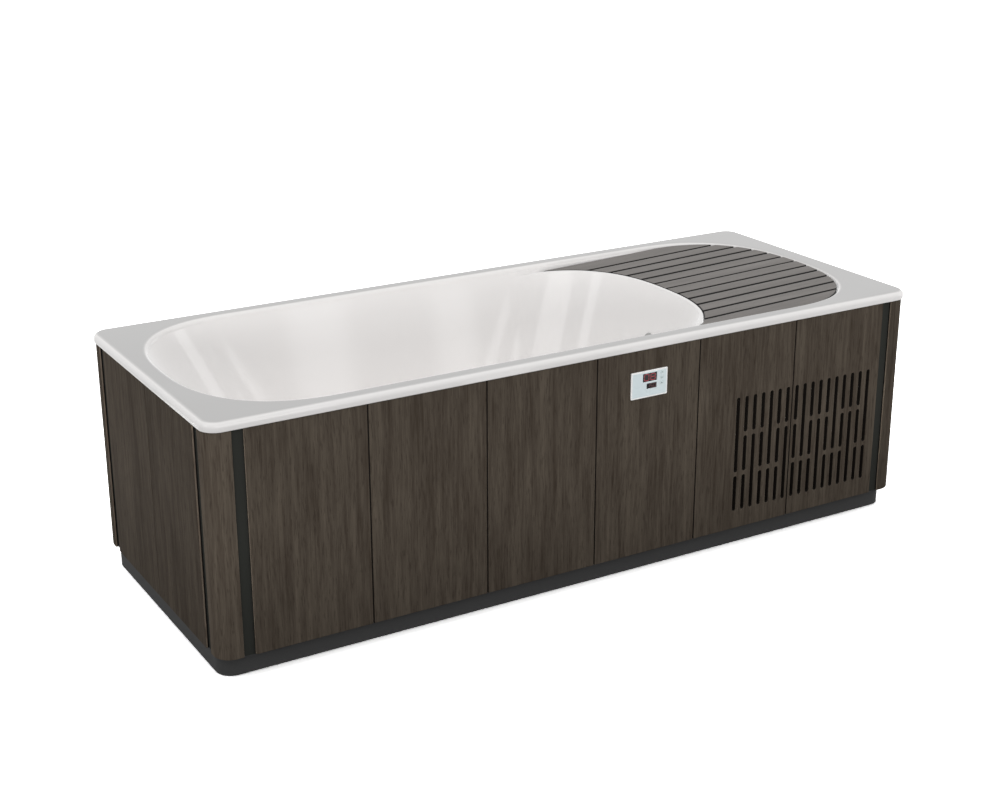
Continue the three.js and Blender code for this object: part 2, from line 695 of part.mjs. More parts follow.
// Slots of one column: every second column has both bridges, the others one, lower and upper in turn.
function columnSlots(x, column) {
  const third = VENT_LENGTH + VENT_BRIDGE;
  const lowerBridge = column % 4 !== 2;
  const upperBridge = column % 4 !== 0;
  const starts = [0, ...(lowerBridge ? [1] : []), ...(upperBridge ? [2] : [])];
  return starts.map((start, i) => {
    const end = starts[i + 1] ?? 3;
    const low = VENT_BOTTOM + start * third;
    return slotOutline(x, low, VENT_BOTTOM + end * third - VENT_BRIDGE);
  });
}

function ventColumns() {
  const left = Array.from({ length: VENT_COLUMNS_LEFT }, (_, i) => VENT_LEFT + i * VENT_PITCH);
  const right = Array.from(
    { length: VENT_COLUMNS_RIGHT },
    (_, i) => VENT_SEAM + VENT_SEAM_MARGIN + i * VENT_PITCH,
  );
  return [...left, ...right];
}

const CUTOUT_WIDTH = PLATE_WIDTH - 2 * BOX_MARGIN + 2 * CUTOUT_GAP;
const CUTOUT_HEIGHT = PLATE_HEIGHT - 2 * BOX_MARGIN + 2 * CUTOUT_GAP;

function addFrontPanels(parent) {
  const face = faceGroup(0, -BOARD_BACK, 0);
  parent.add(face);
  const columns = ventColumns();
  for (let panel = 1; panel <= FRONT_PANELS; panel += 1) {
    const seam = (side) => (side - FRONT_PANELS / 2) * PANEL_PITCH;
    const left = panel === 1 ? -FIELD_X : seam(panel - 1) + PANEL_SEAM / 2;
    const right = panel === FRONT_PANELS ? FIELD_X : seam(panel) - PANEL_SEAM / 2;
    const inside = (x) => x - VENT_WIDTH > left && x + VENT_WIDTH < right;
    const holes = columns.flatMap((x, column) => (inside(x) ? columnSlots(x, column) : []));
    if (panel === CONTROL_PANEL) {
      const [x, z] = [CUTOUT_WIDTH / 2, CUTOUT_HEIGHT / 2];
      holes.push(rectangle(CONTROL_X - x, CONTROL_X + x, CONTROL_Z - z, CONTROL_Z + z));
    }
    const outline = rectangle(left, right, CLAD_BOTTOM, CLAD_BOTTOM + CLAD_HEIGHT);
    addPiece(face, `front_panel_${panel}`, prism(outline, PANEL_THICKNESS, holes), "wood");
  }
}

// Section of a double-width board, seen from above with its outer face at +y, with a groove down that face.
function groovedBoard(left, right, groove) {
  const section = [
    new THREE.Vector2(left, 0),
    new THREE.Vector2(right, 0),
    new THREE.Vector2(right, PANEL_THICKNESS),
    new THREE.Vector2(groove + PANEL_SEAM / 2, PANEL_THICKNESS),
    new THREE.Vector2(groove, PANEL_THICKNESS - GROOVE_DEPTH),
    new THREE.Vector2(groove - PANEL_SEAM / 2, PANEL_THICKNESS),
    new THREE.Vector2(left, PANEL_THICKNESS),
  ];
  return prism(section, CLAD_HEIGHT).translate(0, 0, CLAD_BOTTOM);
}

function addRearPanels(parent) {
  const half = PANEL_SEAM / 2;
  const spans = [
    [-FIELD_X, -PANEL_PITCH - half, -2 * PANEL_PITCH],
    [-PANEL_PITCH + half, PANEL_PITCH - half, 0],
    [PANEL_PITCH + half, FIELD_X, 2 * PANEL_PITCH],
  ];
  const drainHole = rod(
    at(DRAIN_X, -CUT_OVERLAP, PUMP_Z),
    at(DRAIN_X, PANEL_THICKNESS + CUT_OVERLAP, PUMP_Z),
    SPIGOT_RADIUS + CUTOUT_GAP,
  );
  spans.forEach(([left, right, groove], i) => {
    const board = groovedBoard(left, right, groove);
    const hasDrain = left < DRAIN_X - SPIGOT_RADIUS && DRAIN_X + SPIGOT_RADIUS < right;
    const geometry = hasDrain ? cut(board, drainHole) : board;
    addPiece(parent, `rear_panel_${i + 1}`, geometry, "wood").position.y = BOARD_BACK;
  });
}

function addEndPanels(parent) {
  for (const [name, turn] of [["right_panel", -1], ["left_panel", 1]]) {
    const mesh = addPiece(parent, name, groovedBoard(-FIELD_Y, FIELD_Y, 0), "wood");
    mesh.rotation.z = (turn * Math.PI) / 2;
    mesh.position.x = -turn * (CLAD_X - PANEL_THICKNESS);
  }
}

// Sections of a corner, seen from above: the cabinet's corner is the origin, its faces lie along +x and +y.
function postSection() {
  const inner = Math.max(POST_RADIUS - PANEL_THICKNESS, FIT_GAP);
  const bendCentre = inner + PANEL_THICKNESS;
  const [towardsX, towardsY] = [Math.PI, 1.5 * Math.PI];
  return [
    new THREE.Vector2(PANEL_THICKNESS, POST_LEG),
    new THREE.Vector2(0, POST_LEG),
    ...arc(POST_RADIUS, POST_RADIUS, POST_RADIUS, towardsX, towardsY, CORNER_STEPS),
    new THREE.Vector2(POST_LEG, 0),
    new THREE.Vector2(POST_LEG, PANEL_THICKNESS),
    ...arc(bendCentre, bendCentre, inner, towardsY, towardsX, CORNER_STEPS),
  ];
}

function channelSection() {
  const face = PANEL_THICKNESS + FIT_GAP;
  const back = face + CHANNEL_WALL;
  const near = POST_LEG + FIT_GAP;
  const far = POST_LEG + REVEAL_WIDTH - FIT_GAP;
  const end = POST_LEG + REVEAL_WIDTH + CHANNEL_LAP;
  const bend = Math.max(POST_RADIUS - PANEL_THICKNESS, FIT_GAP) - FIT_GAP;
  const leg = [
    [near, face],
    [near, REVEAL_DEPTH],
    [far, REVEAL_DEPTH],
    [far, face],
    [end, face],
    [end, back],
  ];
  const alongX = leg.map(([u, v]) => new THREE.Vector2(u, v));
  const alongY = leg.map(([u, v]) => new THREE.Vector2(v, u)).reverse();
  const bendCentre = face + bend;
  const inside = Math.max(bendCentre, back);
  return [
    ...arc(bendCentre, bendCentre, bend, Math.PI, 1.5 * Math.PI, CORNER_STEPS),
    ...alongX,
    new THREE.Vector2(inside, back),
    new THREE.Vector2(back, inside),
    ...alongY,
  ];
}

const CORNERS = [
  ["front_left", -1, -1, 0],
  ["front_right", 1, -1, 1],
  ["rear_right", 1, 1, 2],
  ["rear_left", -1, 1, 3],
];

function addCorners(parent) {
  for (const [corner, signX, signY, quarters] of CORNERS) {
    const group = new THREE.Group();
    group.position.set(signX * CLAD_X, signY * CLAD_Y, CLAD_BOTTOM);
    group.rotation.z = (quarters * Math.PI) / 2;
    parent.add(group);
    addPiece(group, `corner_post_${corner}`, prism(postSection(), CLAD_HEIGHT), "wood");
    addPiece(group, `corner_channel_${corner}`, prism(channelSection(), CLAD_HEIGHT), "darkMetal");
  }
}

// Deck

function addDeck(parent) {
  const frame = deckFrame();
  parent.add(frame);
  const outerReach = DECK_OVAL.halfWidth - DECK_WALL_GAP;
  for (let slat = 1; slat <= SLAT_COUNT; slat += 1) {
    const low = slat === 1 ? -outerReach : (slat - 1 - SLAT_COUNT / 2) * SLAT_PITCH + SLAT_GAP / 2;
    const high = slat === SLAT_COUNT ? outerReach : (slat - SLAT_COUNT / 2) * SLAT_PITCH - SLAT_GAP / 2;
    const outline = crescent(DECK_WEIR, DECK_OVAL, low, high, CURVE_STEPS);
    const mesh = addPiece(frame, `deck_slat_${slat}`, prism(outline, SLAT_THICKNESS), "slat");
    mesh.position.set(-DECK_RIGHT, 0, -SLAT_THICKNESS);
  }
  BATTEN_CENTRES.forEach((x, i) => {
    const halfLength = endY(DECK_OVAL, x + BATTEN_WIDTH / 2) - BATTEN_END_GAP;
    const outline = rectangle(x - BATTEN_WIDTH / 2, x + BATTEN_WIDTH / 2, -halfLength, halfLength);
    const mesh = addPiece(frame, `deck_batten_${i + 1}`, prism(outline, BATTEN_THICKNESS), "slat");
    mesh.position.set(-DECK_RIGHT, 0, -DECK_DEPTH + FIT_GAP);
  });
}

// Control panel

function windowOutline({ x, z, width, height }, inset) {
  const [halfWidth, halfHeight] = [width / 2 - inset, height / 2 - inset];
  return rectangle(x - halfWidth, x + halfWidth, z - halfHeight, z + halfHeight);
}

function keyCentres() {
  return Array.from({ length: KEY_COUNT }, (_, i) => KEY_TOP - i * KEY_PITCH);
}

function keyOutline(z, growth) {
  const [halfWidth, halfHeight] = [KEY_WIDTH / 2 + growth, KEY_HEIGHT / 2 + growth];
  return roundedRectangle(halfWidth, halfHeight, KEY_CORNER_RADIUS, KEY_COLUMN, z, 2);
}

function lensGeometry() {
  const low = LOWER_WINDOW.z - LOWER_WINDOW.height / 2;
  const high = MAIN_WINDOW.z + MAIN_WINDOW.height / 2;
  const left = MAIN_WINDOW.x - MAIN_WINDOW.width / 2;
  const right = Math.max(
    MAIN_WINDOW.x + MAIN_WINDOW.width / 2,
    LOWER_WINDOW.x + LOWER_WINDOW.width / 2,
  );
  const sheet = rectangle(left - LENS_MARGIN, right + LENS_MARGIN, low - LENS_MARGIN, high + LENS_MARGIN);
  const rise = LENS_THICKNESS + FIT_GAP + PLATE_THICKNESS - LENS_RECESS;
  return join(
    prism(sheet, LENS_THICKNESS),
    prism(windowOutline(MAIN_WINDOW, FIT_GAP), rise),
    prism(windowOutline(LOWER_WINDOW, FIT_GAP), rise),
  );
}

function addControls(parent) {
  const face = faceGroup(CONTROL_X, -CLAD_Y, CONTROL_Z);
  parent.add(face);
  const plateOutline = roundedRectangle(PLATE_WIDTH / 2, PLATE_HEIGHT / 2, PLATE_CORNER_RADIUS);
  const holes = [
    windowOutline(MAIN_WINDOW, 0),
    windowOutline(LOWER_WINDOW, 0),
    ...keyCentres().map((z) => keyOutline(z, FIT_GAP)),
  ];
  const plate = addPiece(face, "control_plate", prism(plateOutline, PLATE_THICKNESS, holes), "plate");
  plate.position.z = FIT_GAP;
  addPiece(face, "display_lens", lensGeometry(), "lens").position.z = -LENS_THICKNESS;
  keyCentres().forEach((z, i) => {
    const capHeight = KEY_FLANGE + FIT_GAP + PLATE_THICKNESS + KEY_PROUD;
    const geometry = join(
      prism(keyOutline(z, KEY_FLANGE), KEY_FLANGE),
      prism(keyOutline(z, 0), capHeight),
    );
    addPiece(face, `control_key_${i + 1}`, geometry, "whitePlastic").position.z = -KEY_FLANGE;
  });
  const [halfWidth, halfHeight] = [PLATE_WIDTH / 2 - BOX_MARGIN, PLATE_HEIGHT / 2 - BOX_MARGIN];
  const high = at(halfWidth, halfHeight, 0);
  const low = at(-halfWidth, -halfHeight, -BOX_DEPTH);
  const wall = at(BOX_WALL, BOX_WALL, BOX_WALL);
  const hollow = box(low.clone().add(wall), high.clone().sub(wall).setZ(CUT_OVERLAP));
  addPiece(face, "control_box", cut(box(low, high), hollow), "blackPlastic");
}

// Water circuit

function suctionFittingGeometry() {
  const flange = BASIN_FLOOR + FIT_GAP;
  return turned([
    [0, FLOOR_UNDERSIDE - SUCTION_SHANK],
    [SUCTION_SHANK_RADIUS, FLOOR_UNDERSIDE - SUCTION_SHANK],
    [SUCTION_SHANK_RADIUS, flange],
    [SUCTION_FLANGE_RADIUS, flange],
    [SUCTION_FLANGE_RADIUS - SUCTION_FLANGE_HEIGHT, flange + SUCTION_FLANGE_HEIGHT],
    [0, flange + SUCTION_FLANGE_HEIGHT],
  ]);
}

function suctionPipeGeometry() {
  const corner = at(SUCTION_X, 0, PUMP_Z);
  const riserTop = FLOOR_UNDERSIDE - SUCTION_SHANK - FIT_GAP;
  return join(
    rod(corner.clone().setX(SUCTION_X - PIPE_RADIUS), corner.clone().setX(PUMP_X - FIT_GAP), PIPE_RADIUS),
    rod(corner, corner.clone().setZ(riserTop), PIPE_RADIUS - FIT_GAP),
    rod(at(DRAIN_X, 0, PUMP_Z), at(DRAIN_X, DRAIN_Y - FIT_GAP, PUMP_Z), PIPE_RADIUS - FIT_GAP),
  );
}

function pumpGeometry() {
  const along = (distance) => at(PUMP_X + distance, 0, PUMP_Z);
  const voluteStart = PUMP_INLET_LENGTH;
  const motorStart = voluteStart + PUMP_VOLUTE_LENGTH;
  const end = motorStart + PUMP_MOTOR_LENGTH;
  const outletX = PUMP_X + voluteStart + PUMP_VOLUTE_LENGTH / 2;
  const footHalf = PUMP_FOOT_WIDTH / 2;
  return join(
    rod(along(0), along(voluteStart + CUT_OVERLAP), PUMP_INLET_RADIUS),
    rod(along(voluteStart), along(motorStart), PUMP_RADIUS),
    rod(along(motorStart - CUT_OVERLAP), along(end), PUMP_MOTOR_RADIUS),
    rod(at(outletX, 0, PUMP_Z), at(outletX, 0, PUMP_Z + PUMP_RADIUS + PUMP_OUTLET_LENGTH), PIPE_RADIUS),
    box(
      at(PUMP_X + voluteStart, -footHalf, STANDING),
      at(PUMP_X + end, footHalf, PUMP_Z - PUMP_MOTOR_RADIUS / 2),
    ),
  );
}

// Filter pieces, in the deck's frame and about the filter's own axis: heights are above the tray floor.
function filterHousingGeometry() {
  const inner = FILTER_RADIUS - FILTER_WALL;
  const body = turned([
    [FILTER_OUTLET_RADIUS, -FILTER_DEPTH],
    [FILTER_RADIUS, -FILTER_DEPTH],
    [FILTER_RADIUS, FIT_GAP],
    [FILTER_FLANGE_RADIUS, FIT_GAP],
    [FILTER_FLANGE_RADIUS, FIT_GAP + FILTER_FLANGE],
    [inner, FIT_GAP + FILTER_FLANGE],
    [inner, -FILTER_DEPTH + FILTER_WALL],
    [FILTER_OUTLET_RADIUS, -FILTER_DEPTH + FILTER_WALL],
    [FILTER_OUTLET_RADIUS, -FILTER_DEPTH],
  ]);
  const stub = rod(
    at(-FILTER_RADIUS + FILTER_WALL / 2, 0, -FILTER_STUB_DROP),
    at(-FILTER_RADIUS - FILTER_STUB_LENGTH, 0, -FILTER_STUB_DROP),
    PIPE_RADIUS,
  );
  return join(body, stub);
}

function cartridgeGeometry() {
  const outer = FILTER_RADIUS - FILTER_WALL - CARTRIDGE_GAP;
  const star = circle(1, 0, 0, 2 * CARTRIDGE_PLEATS).map((point, i) =>
    point.multiplyScalar(i % 2 ? outer : outer - CARTRIDGE_PLEAT),
  );
  const bottom = -FILTER_DEPTH + FILTER_WALL + FIT_GAP;
  return prism(star, -CARTRIDGE_HEAD_GAP - bottom).translate(0, 0, bottom);
}

function filterCapGeometry() {
  const seat = FIT_GAP + FILTER_FLANGE + FIT_GAP;
  const plug = FILTER_RADIUS - FILTER_WALL - CAP_PLUG_GAP;
  const top = seat + CAP_THICKNESS;
  const grip = FILTER_RADIUS - CAP_BAR_WIDTH;
  const cap = turned([
    [0, seat - CAP_PLUG],
    [plug, seat - CAP_PLUG],
    [plug, seat],
    [FILTER_RADIUS, seat],
    [FILTER_RADIUS, top],
    [0, top],
  ]);
  const bar = box(
    at(-grip, -CAP_BAR_WIDTH / 2, top - CUT_OVERLAP),
    at(grip, CAP_BAR_WIDTH / 2, top + CAP_BAR_HEIGHT),
  );
  return join(cap, bar);
}

function filterFrame() {
  const frame = new THREE.Group();
  frame.position.set(FILTER_X - DECK_RIGHT, FILTER_Y, -DECK_DEPTH);
  return frame;
}

// A point of the filter's own frame in the cabinet's frame.
function filterPoint(x, y, z) {
  return at(FILTER_X - DECK_RIGHT + x, FILTER_Y + y, -DECK_DEPTH + z).applyMatrix4(deckFrame().matrix);
}

function addFilter(parent) {
  const slope = deckFrame();
  const frame = filterFrame();
  parent.add(slope);
  slope.add(frame);
  addPiece(frame, "filter_housing", filterHousingGeometry(), "whitePlastic");
  addPiece(frame, "filter_cartridge", cartridgeGeometry(), "paper");
  addPiece(frame, "filter_cap", filterCapGeometry(), "greyPlastic");
}

const FILTER_FOOT = filterPoint(0, 0, -FILTER_DEPTH);
const EXCHANGER_TOP = FILTER_FOOT.z - FIT_GAP - PIPE_RADIUS * Math.tan(DECK_SLOPE); // clear of the tilt
const EXCHANGER_HEIGHT = EXCHANGER_TOP - EXCHANGER_SPIGOT;
const UPPER_PORT = EXCHANGER_HEIGHT - PORT_DROP;

function exchangerGeometry() {
  const shoulder = EXCHANGER_HEIGHT - EXCHANGER_SHOULDER;
  return turned([
    [0, STANDING],
    [EXCHANGER_RADIUS, STANDING],
    [EXCHANGER_RADIUS, shoulder],
    [EXCHANGER_RADIUS - EXCHANGER_SHOULDER, EXCHANGER_HEIGHT],
    [PIPE_RADIUS, EXCHANGER_HEIGHT],
    [PIPE_RADIUS, EXCHANGER_TOP],
    [0, EXCHANGER_TOP],
  ]).translate(FILTER_FOOT.x, FILTER_FOOT.y, 0);
}

function filterPipeGeometry() {
  const outletX = PUMP_X + PUMP_INLET_LENGTH + PUMP_VOLUTE_LENGTH / 2;
  const start = at(outletX, 0, PUMP_Z + PUMP_RADIUS + PUMP_OUTLET_LENGTH + FIT_GAP);
  const bend = 3 * PIPE_RADIUS;
  const stubEnd = FILTER_RADIUS + FILTER_STUB_LENGTH + FIT_GAP;
  const end = filterPoint(-stubEnd, 0, -FILTER_STUB_DROP);
  return tube(
    [
      start,
      start.clone().setZ(start.z + bend / 2),
      at(start.x + bend / 2, end.y / 2, (start.z + end.z) / 2),
      filterPoint(-stubEnd - bend / 2, 0, -FILTER_STUB_DROP),
      end,
    ],
    PIPE_RADIUS,
  );
}

function returnPipeGeometry() {
  const start = at(FILTER_FOOT.x, FILTER_FOOT.y - EXCHANGER_RADIUS - FIT_GAP, UPPER_PORT);
  const end = inletPoint(-FOOT_WALL - INLET_TAIL - FIT_GAP);
  const approach = inletPoint(-FOOT_WALL - INLET_TAIL - 2 * RETURN_PIPE_RADIUS);
  return tube(
    [
      start,
      at(start.x, start.y - 2 * RETURN_PIPE_RADIUS, start.z),
      at((start.x + end.x) / 2, -2 * RETURN_PIPE_RADIUS, (start.z + end.z) / 2),
      approach,
      end,
    ],
    RETURN_PIPE_RADIUS,
  );
}

function inletFittingGeometry() {
  const nutTop = -FOOT_WALL - FIT_GAP;
  const profile = [
    [INLET_BORE_RADIUS, -FOOT_WALL - INLET_TAIL],
    [INLET_SHANK_RADIUS, -FOOT_WALL - INLET_TAIL],
    [INLET_SHANK_RADIUS, nutTop - INLET_NUT],
    [INLET_NUT_RADIUS, nutTop - INLET_NUT],
    [INLET_NUT_RADIUS, nutTop],
    [INLET_SHANK_RADIUS, nutTop],
    [INLET_SHANK_RADIUS, FIT_GAP],
    [INLET_FLANGE_RADIUS, FIT_GAP],
    [INLET_FLANGE_RADIUS - INLET_FLANGE / 2, FIT_GAP + INLET_FLANGE],
    [INLET_BORE_RADIUS, FIT_GAP + INLET_FLANGE],
    [INLET_BORE_RADIUS, -FOOT_WALL - INLET_TAIL],
  ];
  const turn = new THREE.Quaternion().setFromUnitVectors(at(0, 0, 1), INLET_AXIS);
  return turned(profile).applyQuaternion(turn).translate(INLET_X, 0, INLET_HEIGHT);
}

function drainValveGeometry() {
  const along = (distance) => at(DRAIN_X, DRAIN_Y + distance, PUMP_Z);
  const outlet = CLAD_Y - DRAIN_Y; // flush with the rear board's face
  const stemY = DRAIN_Y + VALVE_LENGTH / 2;
  return join(
    rod(along(0), along(VALVE_LENGTH), VALVE_RADIUS),
    rod(along(VALVE_LENGTH - CUT_OVERLAP), along(outlet), SPIGOT_RADIUS),
    rod(
      at(DRAIN_X, stemY, PUMP_Z),
      at(DRAIN_X, stemY, PUMP_Z + VALVE_RADIUS + VALVE_STEM_HEIGHT),
      VALVE_STEM_RADIUS,
    ),
  );
}

// Lever in its closed place, across the pipe.
function drainLeverGeometry() {
  const half = LEVER_WIDTH / 2;
  const outline = [
    ...arc(0, 0, half, Math.PI / 2, 1.5 * Math.PI, SLOT_STEPS),
    ...arc(LEVER_LENGTH, 0, half, -Math.PI / 2, Math.PI / 2, SLOT_STEPS),
  ];
  const seat = PUMP_Z + VALVE_RADIUS + VALVE_STEM_HEIGHT + FIT_GAP;
  return prism(outline, LEVER_THICKNESS).translate(DRAIN_X, DRAIN_Y + VALVE_LENGTH / 2, seat);
}

// Chiller

function condenserGeometry() {
  const pitch = (CONDENSER_WIDTH - FIN_THICKNESS) / (FIN_COUNT - 1);
  const front = -BOARD_BACK + CONDENSER_GAP;
  const left = FAN_X - CONDENSER_WIDTH / 2;
  const section = Array.from({ length: FIN_COUNT }, (_, i) => [
    new THREE.Vector2(left + i * pitch, front + FIN_DEPTH),
    new THREE.Vector2(left + i * pitch, front),
    new THREE.Vector2(left + i * pitch + FIN_THICKNESS, front),
    new THREE.Vector2(left + i * pitch + FIN_THICKNESS, front + FIN_DEPTH),
  ]).flat();
  const back = front + FIN_DEPTH + CONDENSER_CORE;
  section.push(new THREE.Vector2(left + CONDENSER_WIDTH, back), new THREE.Vector2(left, back));
  const bottom = FAN_Z - CONDENSER_HEIGHT / 2;
  const core = prism(section, CONDENSER_HEIGHT).translate(0, 0, bottom);
  const outlet = at(left + CONDENSER_WIDTH, front + FIN_DEPTH + CONDENSER_CORE / 2, bottom + LINE_BEND);
  const turnY = outlet.y + CONDENSER_CORE + SHROUD_DEPTH + LINE_BEND;
  const port = at(FILTER_FOOT.x + EXCHANGER_RADIUS + FIT_GAP, FILTER_FOOT.y, bottom - LINE_BEND);
  const liquidLine = tube(
    [
      outlet.clone().setX(outlet.x - LINE_RADIUS),
      outlet.clone().setX(outlet.x + LINE_BEND),
      at(outlet.x + LINE_BEND, turnY, outlet.z - LINE_BEND / 2),
      at(port.x + LINE_BEND, port.y - LINE_BEND, port.z),
      port.clone().setX(port.x + LINE_BEND / 2),
      port,
    ],
    LINE_RADIUS,
  );
  return join(core, liquidLine);
}

function shroudGeometry() {
  const outline = rectangle(
    FAN_X - CONDENSER_WIDTH / 2,
    FAN_X + CONDENSER_WIDTH / 2,
    STANDING,
    FAN_Z + CONDENSER_HEIGHT / 2,
  );
  const throat = circle(FAN_RADIUS + FAN_TIP_GAP, FAN_X, FAN_Z, 2 * ROUND_SIDES);
  const duct = prism(outline, SHROUD_DEPTH, [throat]).rotateX(Math.PI / 2).translate(0, SHROUD_BACK, 0);
  const reach = FAN_RADIUS + FAN_TIP_GAP + CUT_OVERLAP;
  const armLow = SHROUD_BACK - ARM_DEPTH;
  const half = ARM_WIDTH / 2;
  return join(
    duct,
    box(at(FAN_X - reach, armLow, FAN_Z - half), at(FAN_X + reach, SHROUD_BACK, FAN_Z + half)),
    box(at(FAN_X - half, armLow, FAN_Z - reach), at(FAN_X + half, SHROUD_BACK, FAN_Z + reach)),
    rod(at(FAN_X, armLow, FAN_Z), at(FAN_X, armLow + STATOR_LENGTH, FAN_Z), STATOR_RADIUS),
  );
}

function fanRotorGeometry() {
  const hub = rod(at(0, -FAN_HUB_LENGTH, 0), at(0, 0, 0), FAN_HUB_RADIUS);
  const halfChord = (BLADE_CHORD / 2) * Math.cos(BLADE_PITCH);
  const tip = Math.sqrt(FAN_RADIUS ** 2 - halfChord ** 2);
  const root = FAN_HUB_RADIUS / 2;
  const blades = Array.from({ length: FAN_BLADES }, (_, i) =>
    new THREE.BoxGeometry(BLADE_CHORD, BLADE_THICKNESS, tip - root)
      .rotateZ(BLADE_PITCH)
      .translate(0, -FAN_HUB_LENGTH / 2, (tip + root) / 2)
      .rotateY((i * 2 * Math.PI) / FAN_BLADES),
  );
  return join(hub, ...blades).translate(FAN_X, STATOR_FACE, FAN_Z);
}

function compressorGeometry() {
  const bottom = STANDING + COMPRESSOR_PLATE;
  const top = bottom + COMPRESSOR_HEIGHT;
  const profile = [[0, bottom - CUT_OVERLAP], [COMPRESSOR_RADIUS, bottom - CUT_OVERLAP]];
  for (let step = 0; step < FILLET_STEPS; step += 1) {
    const angle = (step / FILLET_STEPS) * (Math.PI / 2);
    const radius = COMPRESSOR_RADIUS * Math.cos(angle);
    profile.push([radius, top - COMPRESSOR_DOME * (1 - Math.sin(angle))]);
  }
  profile.push([0, top]);
  const half = COMPRESSOR_PLATE_WIDTH / 2;
  const plate = prism(roundedRectangle(half, half, COMPRESSOR_RADIUS / 2), COMPRESSOR_PLATE);
  return join(turned(profile), plate.translate(0, 0, STANDING)).translate(COMPRESSOR_X, COMPRESSOR_Y, 0);
}

function dischargeLineGeometry() {
  const side = COMPRESSOR_X - COMPRESSOR_RADIUS - FIT_GAP;
  const height = STANDING + COMPRESSOR_HEIGHT / 2;
  const left = FAN_X - CONDENSER_WIDTH / 2;
  const inletY = -BOARD_BACK + CONDENSER_GAP + FIN_DEPTH + CONDENSER_CORE / 2;
  const inletZ = FAN_Z + CONDENSER_HEIGHT / 2 - LINE_BEND;
  return tube(
    [
      at(side, COMPRESSOR_Y, height),
      at(side - LINE_BEND / 2, COMPRESSOR_Y, height),
      at(left - LINE_BEND, (COMPRESSOR_Y + inletY) / 2, (height + inletZ) / 2),
      at(left - LINE_BEND, inletY, inletZ),
      at(left - FIT_GAP, inletY, inletZ),
    ],
    LINE_RADIUS,
  );
}

function suctionLineGeometry() {
  const start = at(FILTER_FOOT.x - EXCHANGER_RADIUS - FIT_GAP, FILTER_FOOT.y, UPPER_PORT);
  const top = STANDING + COMPRESSOR_PLATE + COMPRESSOR_HEIGHT + FIT_GAP;
  return tube(
    [
      start,
      start.clone().setX(start.x - LINE_BEND / 2),
      at((start.x + COMPRESSOR_X) / 2, (start.y + COMPRESSOR_Y) / 2, start.z + LINE_BEND),
      at(COMPRESSOR_X, COMPRESSOR_Y, top + LINE_BEND),
      at(COMPRESSOR_X, COMPRESSOR_Y, top),
    ],
    LINE_RADIUS,
  );
}

// Assembly

function buildTub() {
  const tub = new THREE.Group();
  addPiece(tub, "tub_shell", shellGeometry(), "acrylic");
  addPiece(tub, "plinth", plinthGeometry(), "plinth");
  addPiece(tub, "basin_pedestal", pedestalGeometry(), "foam");
  addFrontPanels(tub);
  addRearPanels(tub);
  addEndPanels(tub);
  addCorners(tub);
  addDeck(tub);
  addControls(tub);
  addFilter(tub);
  const suction = addPiece(tub, "suction_fitting", suctionFittingGeometry(), "whitePlastic");
  suction.position.x = SUCTION_X;
  addPiece(tub, "suction_pipe", suctionPipeGeometry(), "whitePlastic");
  addPiece(tub, "circulation_pump", pumpGeometry(), "blackPlastic");
  addPiece(tub, "filter_pipe", filterPipeGeometry(), "whitePlastic");
  addPiece(tub, "heat_exchanger", exchangerGeometry(), "greyPlastic");
  addPiece(tub, "return_pipe", returnPipeGeometry(), "whitePlastic");
  addPiece(tub, "inlet_fitting", inletFittingGeometry(), "whitePlastic");
  addPiece(tub, "drain_valve", drainValveGeometry(), "greyPlastic");
  addPiece(tub, "drain_lever", drainLeverGeometry(), "blackPlastic");
  addPiece(tub, "condenser_coil", condenserGeometry(), "coatedFins");
  addPiece(tub, "fan_shroud", shroudGeometry(), "blackPlastic");
  addPiece(tub, "fan_rotor", fanRotorGeometry(), "blackPlastic");
  addPiece(tub, "compressor", compressorGeometry(), "blackMetal");
  addPiece(tub, "discharge_line", dischargeLineGeometry(), "copper");
  addPiece(tub, "suction_line", suctionLineGeometry(), "copper");
  return tub;
}

export default buildTub();
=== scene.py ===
"""Dressed model of a cold plunge tub: gloss shell, board-clad cabinet, slatted deck and control panel.

Metres, +Z up, the length along X, the front at -Y and the origin in the middle of the underside.
"""

import json
import math

import bmesh
import bpy
from mathutils import Matrix, Vector

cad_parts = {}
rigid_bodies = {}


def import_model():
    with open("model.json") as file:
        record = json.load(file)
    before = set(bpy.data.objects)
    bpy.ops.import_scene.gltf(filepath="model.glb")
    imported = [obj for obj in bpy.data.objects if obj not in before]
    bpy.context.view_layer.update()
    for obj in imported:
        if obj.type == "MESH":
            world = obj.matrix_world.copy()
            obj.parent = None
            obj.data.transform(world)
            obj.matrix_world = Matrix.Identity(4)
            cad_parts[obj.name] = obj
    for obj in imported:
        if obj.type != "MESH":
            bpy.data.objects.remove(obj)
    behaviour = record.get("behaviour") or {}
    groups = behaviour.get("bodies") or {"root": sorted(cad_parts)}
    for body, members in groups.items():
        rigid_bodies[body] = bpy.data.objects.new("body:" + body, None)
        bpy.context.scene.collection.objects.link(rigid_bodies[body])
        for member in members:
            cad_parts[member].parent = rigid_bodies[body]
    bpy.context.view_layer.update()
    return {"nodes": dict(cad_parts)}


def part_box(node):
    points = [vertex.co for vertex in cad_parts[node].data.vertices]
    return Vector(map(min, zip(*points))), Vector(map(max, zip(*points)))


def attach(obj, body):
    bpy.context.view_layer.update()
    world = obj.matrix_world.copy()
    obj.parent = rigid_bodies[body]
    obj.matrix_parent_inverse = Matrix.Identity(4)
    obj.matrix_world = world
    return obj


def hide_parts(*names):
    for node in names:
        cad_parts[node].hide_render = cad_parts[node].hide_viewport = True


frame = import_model()

